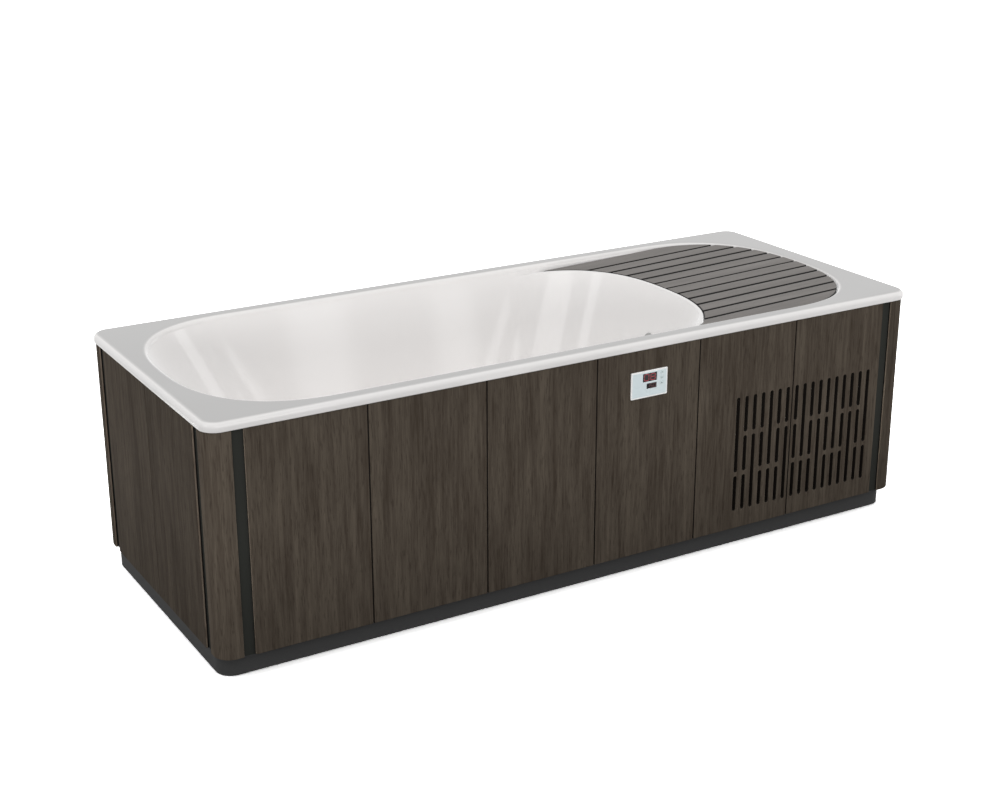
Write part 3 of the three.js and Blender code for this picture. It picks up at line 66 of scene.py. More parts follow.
# Shell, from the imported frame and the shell's own radii
SHELL_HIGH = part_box("tub_shell")[1]
HALF_LENGTH = SHELL_HIGH.x
HALF_WIDTH = SHELL_HIGH.y
RIM_TOP = SHELL_HIGH.z
LIP_HEIGHT = 0.027
LIP_WALL = 0.014
LIP_FOOT_RADIUS = 0.003
RIM_THICKNESS = 0.008
RIM_EDGE_RADIUS = 0.016
RIM_CORNER_RADIUS = 0.048
RIM_END_WIDTH = 0.058
RIM_DECK_WIDTH = 0.076
RIM_SIDE_WIDTH = 0.050
OPENING_EDGE_RADIUS = 0.012
OVAL_END = 0.350
OVAL_POWER = 2.5
SHELL_WALL = 0.008
PAINTED_SHADE_START = 0.30  # the height where painted shade starts to grey the shell's white
PAINTED_SHADE_END = 0.64
# the depth below the rim's top that the rim's painted shade covers
RIM_PAINTED_SHADE_DEPTH = 0.003
BASIN_FLOOR = 0.163
BACK_LEAN = 0.260
FOOT_LEAN = 0.180
SIDE_LEAN = 0.065
FLOOR_RADIUS = 0.080
WEIR_DROP = 0.015
WEIR_WIDTH = 0.008
WEIR_STEP = 0.001
WEIR_EDGE_RADIUS = 0.003
WEIR_BLEND = 5  # how soon the weir takes up the deck's slope, along the oval's end
TRAY_STEP = 0.002
CUT_OVERLAP = 0.001

# Deck
DECK_LENGTH = 0.516
DECK_SLOPE = math.radians(1.96)
DECK_WALL_GAP = 0.004
DECK_WEIR_GAP = 0.003
DECK_DEPTH = 0.0486
SLAT_COUNT = 12
SLAT_PITCH = 0.0625
SLAT_GAP = 0.009
SLAT_THICKNESS = 0.022
SLAT_EDGE = 0.004
SLAT_GRAIN_SHIFT = 1.7  # moves the grain on from slat to slat

# Cladding
BOARD_THICKNESS = 0.018
BOARD_EDGE = 0.0022
BOARD_PITCH = 0.3535
GRAIN_SHIFT = 3.37  # moves the grain on from board to board
GRAIN_ROW_STEP = 5.7  # the same across the width, in boards
FRONT_BOARDS = 6
GROOVE_WIDTH = 0.003
GROOVE_DEPTH = 0.004
POST_RADIUS = 0.048
PLINTH_END_SETBACK = 0.016
PLINTH_SIDE_SETBACK = 0.0305
PLINTH_CORNER_RADIUS = 0.048
PLINTH_WALL = 0.0125
PLINTH_FLOOR = 0.025
PLINTH_EDGE = 0.002
LEDGE_SETBACK = 0.0125
LEDGE_THICKNESS = 0.006
UNDER_BAYS = 4
UNDER_DEPTH = 0.013
UNDER_RIB = 0.060
CABLE_HOLE_RADIUS = 0.016
CABLE_HOLE_INSET = 0.140

# Water fittings
SUCTION_X = 0.228
SUCTION_RADIUS = 0.050
SUCTION_HEIGHT = 0.008
SUCTION_SHANK_RADIUS = 0.024
SUCTION_SHANK = 0.018
SUCTION_EDGE = 0.003
SUCTION_SLOTS = 16
SUCTION_SLOT_WIDTH = 0.0036
SUCTION_SLOT_RADIUS = 0.0017
INLET_DROP = 0.158
INLET_RADIUS = 0.020
INLET_FLANGE = 0.005
INLET_SHANK_RADIUS = 0.013
INLET_BORE_RADIUS = 0.007
INLET_CHAMFER = 0.003
INLET_TAIL = 0.046
INLET_NUT_RADIUS = 0.022
INLET_NUT = 0.010
FITTING_EDGE = 0.002
FILTER_Y = 0.200
FILTER_RADIUS = 0.066
FILTER_WALL = 0.008
FILTER_DEPTH = 0.236
FILTER_FLANGE_RADIUS = 0.084
FILTER_FLANGE = 0.006
FILTER_OUTLET_RADIUS = 0.016
FILTER_STUB_RADIUS = 0.020
FILTER_STUB_LENGTH = 0.022
FILTER_STUB_DROP = 0.090
CAP_THICKNESS = 0.008
CAP_PLUG = 0.010
CAP_PLUG_GAP = 0.0012
CAP_BAR_HEIGHT = 0.008
CAP_BAR_WIDTH = 0.016
CAP_BAR_SINK = 0.004
CAP_BAR_EDGE = 0.003
CAP_DISH = 0.002
CAP_NOTCHES = 30
CAP_NOTCH_RADIUS = 0.0028
DRAIN_VALVE_RADIUS = 0.026
DRAIN_VALVE_LENGTH = 0.060
DRAIN_SPIGOT_RADIUS = 0.018
DRAIN_BORE_RADIUS = 0.0145
DRAIN_BORE_DEPTH = 0.040
DRAIN_STEM_RADIUS = 0.009
DRAIN_HOLE_GAP = 0.0005
DRAIN_EDGE = 0.0015
BATTEN_WIDTH = 0.050
BATTEN_THICKNESS = 0.026
BATTEN_INSET = 0.130
BATTEN_EDGE = 0.003

# Vent slots
VENT_COLUMNS_LEFT = 7
VENT_COLUMNS_RIGHT = 10
VENT_PITCH = 0.03125
VENT_SEAM_MARGIN = 0.017
VENT_WIDTH = 0.0125
VENT_LENGTH = 0.1125
VENT_BRIDGE = 0.0125
VENT_BOTTOM = 0.1195
VENT_CHAMFER = 0.0008

# Control panel
PLATE_EDGE = 0.0009
PLATE_CORNER = 0.003
MEMBRANE_INSET = 0.0045
MEMBRANE_THICKNESS = 0.0003
MAIN_WINDOW = {"x": 0.0015, "z": 0.0195, "width": 0.049, "height": 0.025}
LOWER_WINDOW = {"x": 0.0078, "z": -0.0065, "width": 0.035, "height": 0.016}
MAIN_DIGIT_SIZE = (0.0185, 0.0150)  # height and width
LOWER_DIGIT_SIZE = (0.0105, 0.0064)
CUTOUT_MARGIN = 0.0025
FIT_GAP = 0.0003
KEY_RADIUS = 0.003
KEY_EDGE = 0.0007
KEY_FLANGE = 0.001
MARK_HALF = 0.0022
MARK_FOOT = 0.0013
MARK_TIP = 0.0019
MARK_SINK = 0.0001
MARK_LIFT = 0.00004
DIGIT_LIFT = 0.00015
DIGIT_GAP = 0.36  # between digits, as a share of their height
SEGMENT_WIDTH = 0.12  # as a share of the digit's height
SEGMENT_LENGTH = 0.94  # as a share of the way from corner to corner

# Camera, taken from the photograph
CAMERA_PLACE = Vector((-2.4766, -4.1196, 2.1689))
CAMERA_YAW = math.radians(30.49)
CAMERA_PITCH = math.radians(19.89)
CAMERA_ROLL = math.radians(-0.13)
CAMERA_LENS = 60.81
CAMERA_SENSOR = 36
CAMERA_REACH = 200

# Studio
AMBIENT = 1.0
FLOOR_SIZE = 120
FLOOR_DROP = 0.0005
FLOOR_WHITE = 2.1
FLOOR_BOUNCE = 0.16
FLOOR_GLOSS = 1.0
KEY_LIGHT = {"direction": (-0.50, -0.78, 0.075), "strength": 0.24, "width": 13}
STRIP_HEIGHT = 0.5
STRIP_AIM = 0.35
STRIPS = {
    "rear_strip": {"position": (0, 1.65, 0.45), "length": 4.5, "brightness": 3.0},
    "right_strip": {"position": (2.35, 0, 0.45), "length": 3.0, "brightness": 2.6},
}
FLAG_REACH = (1.95, 1.82)
FLAG_LOW = 0.0
FLAG_HIGH = 0.37
REFLECTOR_GLOW = 2.6
REFLECTORS = [
    ((0.33, -1.81, 0.02), (0.61, -1.80, 0.56)),
    ((1.05, -1.81, 0.02), (1.25, -1.80, 0.52)),
    ((-1.90, -1.81, 0.66), (-0.15, -1.80, 1.60)),
    ((-3.01, -0.86, 1.20), (-3.00, -0.10, 2.00)),
    ((3.00, -2.20, 0.50), (3.01, -0.95, 1.60)),
]

# Facets and tolerances
OVAL_STEPS = 40
CORNER_STEPS = 12
FILLET_STEPS = 8
ROUND_STEPS = 48
SLOT_STEPS = 8
EDGE_STEPS = 4
LIP_STEPS = 3
WALL_ROWS = 6
MERGE_DISTANCE = 1e-6
FACE_TOLERANCE = 1e-5
ODD_DIRECTION = Vector((0.5773, 0.3191, 0.7511))  # along which no two points lie level
ALONG_AXIS = 0.9  # the least part of a direction that counts as lying along an axis


# Tools

def deselect_all():
    if bpy.context.mode != "OBJECT":
        bpy.ops.object.mode_set(mode="OBJECT")
    bpy.ops.object.select_all(action="DESELECT")


def only(piece):
    deselect_all()
    piece.select_set(True)
    bpy.context.view_layer.objects.active = piece


def named(name):
    piece = bpy.context.object
    piece.name = name
    piece.data.name = name
    return piece


def apply_modifier(piece, kind, **settings):
    modifier = piece.modifiers.new(kind.lower(), kind)
    for key, value in settings.items():
        setattr(modifier, key, value)
    only(piece)
    bpy.ops.object.modifier_apply(modifier=modifier.name)


def combine(piece, tool, operation):
    apply_modifier(piece, "BOOLEAN", operation=operation, solver="EXACT", object=tool)
    bpy.data.objects.remove(tool)


def cut(piece, *tools):
    for tool in tools:
        combine(piece, tool, "DIFFERENCE")


def copy_of(piece, name):
    twin = piece.copy()
    twin.data = piece.data.copy()
    twin.name = name
    twin.data.name = name
    bpy.context.scene.collection.objects.link(twin)
    return twin


def merge(name, pieces):
    deselect_all()
    for piece in pieces:
        piece.select_set(True)
    bpy.context.view_layer.objects.active = pieces[0]
    bpy.ops.object.join()
    return named(name)


def edit_mesh(piece):
    only(piece)
    bpy.ops.object.mode_set(mode="EDIT")
    return bmesh.from_edit_mesh(piece.data)


def pick_faces(piece, chosen):
    """Opens a piece for editing, with the chosen faces selected."""
    mesh = edit_mesh(piece)
    bpy.ops.mesh.select_mode(type="FACE")
    bpy.ops.mesh.select_all(action="DESELECT")
    for face in mesh.faces:
        face.select_set(chosen(face))
    bmesh.update_edit_mesh(piece.data)


def close_edit(piece):
    """Leaves edit mode, with the mesh put in order by place, so that every run gives the same."""
    mesh = bmesh.from_edit_mesh(piece.data)
    mesh.verts.sort(key=lambda corner: corner.co.dot(ODD_DIRECTION))
    mesh.edges.sort(key=lambda edge: edge_middle(edge).dot(ODD_DIRECTION))
    mesh.faces.sort(key=lambda face: face.calc_center_median().dot(ODD_DIRECTION))
    bmesh.update_edit_mesh(piece.data)
    bpy.ops.object.mode_set(mode="OBJECT")


def face_outwards(piece):
    bpy.ops.mesh.select_all(action="SELECT")
    bpy.ops.mesh.normals_make_consistent(inside=False)
    close_edit(piece)


def bevel(piece, chosen, width, segments=3):
    mesh = edit_mesh(piece)
    bpy.ops.mesh.select_mode(type="EDGE")
    bpy.ops.mesh.select_all(action="DESELECT")
    for edge in mesh.edges:
        if chosen(edge):
            edge.select_set(True)
    bmesh.update_edit_mesh(piece.data)
    bpy.ops.mesh.bevel(offset=width, segments=segments, profile=0.5, affect="EDGES", clamp_overlap=True)
    close_edit(piece)


def edge_middle(edge):
    return (edge.verts[0].co + edge.verts[1].co) / 2


def edge_run(edge):
    return (edge.verts[1].co - edge.verts[0].co).normalized()


def is_corner(edge, least=math.radians(60)):
    return len(edge.link_faces) == 2 and edge.calc_face_angle() > least


def smooth(piece, angle=40):
    only(piece)
    bpy.ops.object.shade_smooth_by_angle(angle=math.radians(angle))
    apply_modifier(piece, "WEIGHTED_NORMAL", keep_sharp=True, weight=80)


def block(name, low, high):
    """A cube primitive between two corners, which its caller goes on to shape."""
    deselect_all()
    middle = (Vector(low) + Vector(high)) / 2
    bpy.ops.mesh.primitive_cube_add(size=1, location=middle, scale=Vector(high) - Vector(low))
    bpy.ops.object.transform_apply(location=True, rotation=True, scale=True)
    return named(name)


def loft(name, rings):
    """A filled circle, set on the first ring and extruded from ring to ring."""
    deselect_all()
    bpy.ops.mesh.primitive_circle_add(vertices=len(rings[0]), fill_type="NGON")
    piece = named(name)
    mesh = edit_mesh(piece)
    for corner, place in zip(mesh.verts, rings[0]):
        corner.co = place
    bmesh.update_edit_mesh(piece.data)
    bpy.ops.mesh.select_all(action="SELECT")
    for before, after in zip(rings, rings[1:]):
        bpy.ops.mesh.extrude_region_move()
        mesh = bmesh.from_edit_mesh(piece.data)
        moves = {tuple(start): end for start, end in zip(before, after)}
        for corner in mesh.verts:
            if corner.select:
                corner.co = moves[tuple(corner.co)]
        bmesh.update_edit_mesh(piece.data)
    face_outwards(piece)
    return piece


def standing(name, outline, low, high):
    """An (x, y) outline drawn out upwards, between two heights."""
    return loft(name, [level(outline, low), level(outline, high)])


def across(name, outline, front, back):
    """An (x, z) outline drawn out along Y, from front to back."""
    return loft(name, [upright(outline, front), upright(outline, back)])


def turned(name, profile, steps=ROUND_STEPS):
    """A closed outline of (radius, height) pairs, spun about +Z."""
    deselect_all()
    bpy.ops.mesh.primitive_circle_add(vertices=len(profile), fill_type="NOTHING")
    piece = named(name)
    mesh = edit_mesh(piece)
    for corner, (radius, height) in zip(mesh.verts, profile):
        corner.co = (radius, 0, height)
    bmesh.update_edit_mesh(piece.data)
    bpy.ops.mesh.select_all(action="SELECT")
    bpy.ops.mesh.spin(steps=steps, angle=2 * math.pi, center=(0, 0, 0), axis=(0, 0, 1))
    bpy.ops.mesh.select_all(action="SELECT")
    bpy.ops.mesh.remove_doubles(threshold=MERGE_DISTANCE)
    bpy.ops.mesh.dissolve_degenerate(threshold=MERGE_DISTANCE)
    bpy.ops.mesh.delete_loose()
    face_outwards(piece)
    return piece


def eased(profile, radius, steps=EDGE_STEPS):
    """A closed outline with its corners rounded over less than half a side, but not those on the axis."""
    points = []
    for index, (x, z) in enumerate(profile):
        corner = Vector((x, z))
        before = Vector(profile[index - 1]) - corner
        after = Vector(profile[(index + 1) % len(profile)]) - corner
        if x == 0:
            points.append(corner)
            continue
        start = corner + before.normalized() * min(radius, before.length / 2.1)
        end = corner + after.normalized() * min(radius, after.length / 2.1)
        for step in range(steps + 1):
            t = step / steps
            points.append((1 - t) ** 2 * start + 2 * t * (1 - t) * corner + t ** 2 * end)
    return [tuple(point) for point in points]


def place(piece, matrix):
    piece.data.transform(matrix)
    return piece


# Outlines

def arc(centre_x, centre_y, radius, start, end, steps):
    """(x, y) points of an arc between two angles in degrees."""
    angles = [math.radians(start + (end - start) * step / steps) for step in range(steps + 1)]
    return [(centre_x + radius * math.cos(a), centre_y + radius * math.sin(a)) for a in angles]


def circle(centre_x, centre_y, radius, steps=ROUND_STEPS):
    return arc(centre_x, centre_y, radius, 0, 360, steps)[:-1]


def rounded_rectangle(half_x, half_y, radius, centre=(0, 0), steps=CORNER_STEPS):
    points = []
    for turn, (sign_x, sign_y) in enumerate(((1, 1), (-1, 1), (-1, -1), (1, -1))):
        x = centre[0] + sign_x * (half_x - radius)
        y = centre[1] + sign_y * (half_y - radius)
        points += arc(x, y, radius, 90 * turn, 90 * (turn + 1), steps)
    return points


def level(points, height):
    return [Vector((x, y, height)) for x, y in points]


def upright(points, depth):
    """(x, z) points as a ring that stands across the front, at y = depth."""
    return [Vector((x, depth, z)) for x, z in points]


def oval(left, right, half_width, end):
    """Straight sides and superellipse ends, counter-clockwise from above."""

    def bent(value):
        return math.copysign(abs(value) ** (2 / OVAL_POWER), value)

    angles = [math.pi * (step / OVAL_STEPS - 0.5) for step in range(OVAL_STEPS + 1)]
    curve = [(end * bent(math.cos(a)), half_width * bent(math.sin(a))) for a in angles]
    right_end = [(right - end + x, y) for x, y in curve]
    left_end = [(left + end - x, -y) for x, y in curve]
    return right_end + left_end


def grown(shape, by):
    return {
        "left": shape["left"] - by,
        "right": shape["right"] + by,
        "half_width": shape["half_width"] + by,
        "end": shape["end"] + by,
    }


def end_x(shape, y):
    """Where the right end of an oval lies at a distance y from the middle line."""
    share = max(1 - (abs(y) / shape["half_width"]) ** OVAL_POWER, 0)
    return shape["right"] - shape["end"] + shape["end"] * share ** (1 / OVAL_POWER)


def crescent(inner, outer, reach):
    """Outline between two ovals' right ends, from y = -reach to y = reach."""
    span = math.asin(reach / outer["half_width"])
    rows = [outer["half_width"] * math.sin(span * (2 * i / OVAL_STEPS - 1)) for i in range(OVAL_STEPS + 1)]
    outer_side = [(end_x(outer, y), y) for y in rows]
    inner_side = [(end_x(inner, y), y) for y in reversed(rows)]
    return outer_side + inner_side


OPENING = {
    "left": -HALF_LENGTH + RIM_END_WIDTH,
    "right": HALF_LENGTH - RIM_DECK_WIDTH,
    "half_width": HALF_WIDTH - RIM_SIDE_WIDTH,
    "end": OVAL_END,
}
DECK_RIGHT = OPENING["right"] - DECK_WALL_GAP
DECK_LEFT = DECK_RIGHT - DECK_LENGTH
BASIN = {**OPENING, "right": DECK_LEFT - DECK_WEIR_GAP - WEIR_WIDTH}
WEIR_TOP = RIM_TOP - WEIR_DROP
LIP_BOTTOM = RIM_TOP - LIP_HEIGHT
DECK_FRAME = Matrix.Translation((DECK_RIGHT, 0, RIM_TOP)) @ Matrix.Rotation(-DECK_SLOPE, 4, "Y")


# Finishes

def new_group(name, inputs, outputs):
    """An empty shader node group. Sockets are (name, kind, value) and (name, kind)."""
    group = bpy.data.node_groups.new(name, "ShaderNodeTree")
    for socket_name, kind, value in inputs:
        socket = group.interface.new_socket(socket_name, in_out="INPUT", socket_type=kind)
        socket.default_value = value
    for socket_name, kind in outputs:
        group.interface.new_socket(socket_name, in_out="OUTPUT", socket_type=kind)
    return group


class Wiring:
    """Adds and links nodes in one node tree."""

    def __init__(self, tree):
        self.tree = tree

    def node(self, kind, **settings):
        made = self.tree.nodes.new("ShaderNode" + kind if not kind.startswith("NodeGroup") else kind)
        for key, value in settings.items():
            setattr(made, key, value)
        return made

    def link(self, source, target):
        self.tree.links.new(source, target)

    def feed(self, target, value):
        if isinstance(value, bpy.types.NodeSocket):
            self.link(value, target)
        else:
            target.default_value = value

    def position(self):
        """Where a point lies on the object."""
        return self.node("TexCoord").outputs["Object"]

    def parts(self, vector):
        made = self.node("SeparateXYZ")
        self.link(vector, made.inputs[0])
        return made.outputs

    def math(self, operation, first, second=0.0):
        made = self.node("Math", operation=operation)
        self.feed(made.inputs[0], first)
        self.feed(made.inputs[1], second)
        return made.outputs[0]

    def noise(self, vector, scale, detail=2.0, roughness=0.5):
        made = self.node("TexNoise")
        self.link(vector, made.inputs["Vector"])
        made.inputs["Scale"].default_value = scale
        made.inputs["Detail"].default_value = detail
        made.inputs["Roughness"].default_value = roughness
        return made.outputs["Fac"]

    def mapped(self, vector, scale, offset=(0, 0, 0)):
        made = self.node("Mapping")
        self.link(vector, made.inputs["Vector"])
        made.inputs["Scale"].default_value = scale
        made.inputs["Location"].default_value = offset
        return made.outputs[0]

    def ramp(self, factor, stops):
        made = self.node("ValToRGB")
        self.link(factor, made.inputs[0])
        elements = made.color_ramp.elements
        while len(elements) < len(stops):
            elements.new(0.5)
        for element, (position, colour) in zip(elements, stops):
            element.position = position
            element.color = (*colour, 1)
        return made.outputs[0]

    def mix(self, factor, first, second, blend_type="MIX"):
        made = self.node("Mix", data_type="RGBA", blend_type=blend_type)
        self.feed(made.inputs[0], factor)
        self.feed(made.inputs[6], first)
        self.feed(made.inputs[7], second)
        return made.outputs[2]

    def spread(self, factor, low, high, start=0.0, end=1.0):
        made = self.node("MapRange")
        self.link(factor, made.inputs[0])
        made.inputs[1].default_value = start
        made.inputs[2].default_value = end
        made.inputs[3].default_value = low
        made.inputs[4].default_value = high
        return made.outputs[0]


def linear(red, green, blue):
    """An 8-bit display colour in scene-linear values."""
    return tuple(
        v / 12.92 if v <= 0.04045 else ((v + 0.055) / 1.055) ** 2.4
        for v in (red / 255, green / 255, blue / 255)
    )


def moulded_group():
    """Fine grain and soft colour drift of a moulded or painted surface."""
    group = new_group(
        "moulded_grain",
        [("Colour", "NodeSocketColor", (0.5, 0.5, 0.5, 1)), ("Grain", "NodeSocketFloat", 900.0),
         ("Drift", "NodeSocketFloat", 0.06), ("Roughness", "NodeSocketFloat", 0.5)],
        [("Colour", "NodeSocketColor"), ("Roughness", "NodeSocketFloat"), ("Height", "NodeSocketFloat")],
    )
    wiring = Wiring(group)
    given = wiring.node("NodeGroupInput")
    result = wiring.node("NodeGroupOutput")
    position = wiring.position()
    grain = wiring.node("TexNoise")
    wiring.link(position, grain.inputs["Vector"])
    wiring.link(given.outputs["Grain"], grain.inputs["Scale"])
    drift = wiring.noise(position, 7.0, 4.0)
    centred = wiring.math("SUBTRACT", drift, 0.5)
    swing = wiring.math("MULTIPLY", centred, given.outputs["Drift"])
    speckle = wiring.math("SUBTRACT", grain.outputs["Fac"], 0.5)
    fleck = wiring.math("MULTIPLY", speckle, given.outputs["Drift"])
    value = wiring.math("ADD", wiring.math("ADD", swing, fleck), 1.0)
    shade = wiring.node("HueSaturation")
    wiring.link(value, shade.inputs["Value"])
    wiring.link(given.outputs["Colour"], shade.inputs["Color"])
    wiring.link(shade.outputs[0], result.inputs["Colour"])
    rough = wiring.math("ADD", given.outputs["Roughness"], wiring.math("MULTIPLY", centred, 0.12))
    wiring.link(rough, result.inputs["Roughness"])
    wiring.link(grain.outputs["Fac"], result.inputs["Height"])
    return group


MOULDED = moulded_group()


def new_material(name):
    """A material with its wiring and its principled shader."""
    material = bpy.data.materials.new(name)
    material.use_nodes = True
    wiring = Wiring(material.node_tree)
    shader = material.node_tree.nodes["Principled BSDF"]
    return material, wiring, shader


def add_bump(wiring, shader, height, depth, strength=1.0):
    bump = wiring.node("Bump")
    bump.inputs["Strength"].default_value = strength
    bump.inputs["Distance"].default_value = depth
    wiring.link(height, bump.inputs["Height"])
    wiring.link(bump.outputs[0], shader.inputs["Normal"])


def moulded(name, colour, roughness, grain=900.0, depth=0.00004, drift=0.06, metallic=0.0, specular=0.5):
    """A plain finish with the grain of its kind: plastic, paint or coated metal."""
    material, wiring, shader = new_material(name)
    group = wiring.node("Group", node_tree=MOULDED)
    group.inputs["Colour"].default_value = (*colour, 1)
    group.inputs["Grain"].default_value = grain
    group.inputs["Drift"].default_value = drift
    group.inputs["Roughness"].default_value = roughness
    wiring.link(group.outputs["Colour"], shader.inputs["Base Color"])
    wiring.link(group.outputs["Roughness"], shader.inputs["Roughness"])
    shader.inputs["Metallic"].default_value = metallic
    shader.inputs["Specular IOR Level"].default_value = specular
    add_bump(wiring, shader, group.outputs["Height"], depth)
    return material


def gloss_shell():
    """Polished white acrylic with a faint ripple under its gloss; painted shade greys it towards the rim
    and paints the rim's flat top a darker grey.
    """
    material, wiring, shader = new_material("gloss_shell")
    position = wiring.position()
    height = wiring.parts(position)[2]
    cloud = wiring.noise(position, 2.2, 3.0)
    white = wiring.ramp(cloud, [(0.3, (0.935, 0.915, 0.902)), (0.7, (0.95, 0.934, 0.925))])
    # painted shade: the white greys towards the rim, as if the upper walls and the lip caught less light
    upper = wiring.spread(height, 0.0, 1.0, PAINTED_SHADE_START, PAINTED_SHADE_END)
    painted_shade_white = wiring.mix(upper, white, (0.765, 0.75, 0.741, 1))
    # painted shade: the rim's flat top is painted a darker grey, as if it caught less light than the walls
    flat = wiring.spread(height, 0.0, 1.0, RIM_TOP - RIM_PAINTED_SHADE_DEPTH, RIM_TOP)
    grey = wiring.ramp(cloud, [(0.3, (0.41, 0.404, 0.40)), (0.7, (0.44, 0.435, 0.43))])
    colour = wiring.mix(flat, painted_shade_white, grey)
    wiring.link(colour, shader.inputs["Base Color"])
    wiring.link(wiring.spread(cloud, 0.07, 0.12), shader.inputs["Roughness"])
    add_bump(wiring, shader, wiring.noise(position, 24.0, 1.0), 0.00012, 0.4)
    return material


def wood_group():
    """Upright grain of dark brown-grey wood, which starts anew on each board."""
    group = new_group(
        "wood_grain",
        [("Shade", "NodeSocketFloat", 1.0)],
        [("Colour", "NodeSocketColor"), ("Roughness", "NodeSocketFloat"), ("Height", "NodeSocketFloat")],
    )
    wiring = Wiring(group)
    given = wiring.node("NodeGroupInput")
    result = wiring.node("NodeGroupOutput")
    position = wiring.position()
    x, y = wiring.parts(position)[:2]
    number_x = wiring.math("FLOOR", wiring.math("DIVIDE", x, BOARD_PITCH))
    number_y = wiring.math("FLOOR", wiring.math("DIVIDE", y, BOARD_PITCH))
    number = wiring.math("ADD", number_x, wiring.math("MULTIPLY", number_y, GRAIN_ROW_STEP))
    shift = wiring.math("MULTIPLY", number, GRAIN_SHIFT)
    moved = wiring.node("VectorMath", operation="ADD")
    wiring.link(position, moved.inputs[0])
    wiring.link(shift, moved.inputs[1])
    warp = wiring.node("VectorMath", operation="SCALE")
    warp_noise = wiring.node("TexNoise")
    wiring.link(wiring.mapped(moved.outputs[0], (7, 7, 2.2)), warp_noise.inputs["Vector"])
    warp_noise.inputs["Scale"].default_value = 1.0
    wiring.link(warp_noise.outputs["Color"], warp.inputs[0])
    warp.inputs["Scale"].default_value = 0.016
    bent = wiring.node("VectorMath", operation="ADD")
    wiring.link(moved.outputs[0], bent.inputs[0])
    wiring.link(warp.outputs[0], bent.inputs[1])
    grain_place = bent.outputs[0]

    tone = None
    layers = {}
    for name, scale, weight in (
        ("band", (9, 9, 0.9), 0.15),
        ("patch", (38, 38, 2.8), 0.36),
        ("streak", (120, 120, 6.0), 0.31),
        ("fibre", (420, 420, 18.0), 0.18),
    ):
        layers[name] = wiring.noise(wiring.mapped(grain_place, scale), 1.0, 3.0, 0.6)
        part = wiring.math("MULTIPLY", layers[name], weight)
        tone = wiring.math("ADD", tone, part) if tone else part
    colour = wiring.ramp(tone, [
        (0.38, linear(63, 55, 47)),
        (0.47, linear(76, 68, 60)),
        (0.54, linear(85, 77, 68)),
        (0.64, linear(96, 87, 77)),
    ])
    flecks = wiring.noise(wiring.mapped(grain_place, (260, 260, 26)), 1.0, 2.0, 0.5)
    fleck_mask = wiring.spread(flecks, 0.0, 0.4, 0.56, 0.68)
    darker = wiring.mix(fleck_mask, colour, (*linear(46, 39, 33), 1))
    # the Shade factor makes lighter and darker copies of the wood, used as painted light and painted shade
    shade = wiring.node("HueSaturation")
    wiring.link(given.outputs["Shade"], shade.inputs["Value"])
    wiring.link(darker, shade.inputs["Color"])
    wiring.link(shade.outputs[0], result.inputs["Colour"])
    wiring.link(wiring.spread(layers["streak"], 0.54, 0.70), result.inputs["Roughness"])
    raised = wiring.math("MULTIPLY", layers["fibre"], 0.6)
    wiring.link(wiring.math("SUBTRACT", raised, fleck_mask), result.inputs["Height"])
    return group


WOOD_GRAIN = wood_group()


def grained_wood(name, shade):
    """The wood of the cladding, with the wiring and the shader for what its maker adds."""
    material, wiring, shader = new_material(name)
    grain = wiring.node("Group", node_tree=WOOD_GRAIN)
    grain.inputs["Shade"].default_value = shade
    wiring.link(grain.outputs["Colour"], shader.inputs["Base Color"])
    wiring.link(grain.outputs["Roughness"], shader.inputs["Roughness"])
    shader.inputs["Specular IOR Level"].default_value = 0.01
    add_bump(wiring, shader, grain.outputs["Height"], 0.00035, 0.7)
    return material, wiring, shader, grain


def depth_behind(wiring, axis, face):
    """How deep a point lies behind the cladding's faces: the ends' with axis 0, the sides' with axis 1."""
    from_middle = wiring.math("ABSOLUTE", wiring.parts(wiring.position())[axis])
    return wiring.math("SUBTRACT", face, from_middle)


def add_painted_depth_shade(wiring, shader, colour, depth, start, end, painted_shade_colour):
    """Gives the shader a colour that darkens to a painted shade between two depths."""
    share = wiring.spread(depth, 0.0, 1.0, start, end)
    wiring.link(wiring.mix(share, colour, (*linear(*painted_shade_colour), 1)), shader.inputs["Base Color"])


def board_wood():
    """Wood of the long sides' boards, with painted shade darkening their joints and vent slots."""
    material, wiring, shader, grain = grained_wood("board_wood", 1.0)
    depth = depth_behind(wiring, 1, -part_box("front_panel_1")[0].y)
    colour = grain.outputs["Colour"]
    # painted shade: the wood darkens from just behind its face, in the joints and vent slots
    add_painted_depth_shade(wiring, shader, colour, depth, BOARD_EDGE * 0.25, BOARD_EDGE * 0.6, (32, 29, 26))
    return material


def painted_edge_light_and_shade():
    """Painted highlight on the board ends beside the corner reveals, turning to painted shade in the depth
    of the reveal.
    """
    # painted highlight: a copy of the wood three times as light, standing in for the light the board ends
    # catch beside the reveal
    material, wiring, shader, grain = grained_wood("edge_painted_light_and_shade", 3.0)
    from_end = depth_behind(wiring, 0, -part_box("left_panel")[0].x)
    from_side = depth_behind(wiring, 1, -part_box("front_panel_1")[0].y)
    depth = wiring.math("MINIMUM", from_end, from_side)
    colour = grain.outputs["Colour"]
    # painted shade: deeper in the reveal the ends darken nearly to black
    add_painted_depth_shade(wiring, shader, colour, depth, BOARD_EDGE * 1.8, BOARD_EDGE * 2.1, (24, 23, 22))
    return material


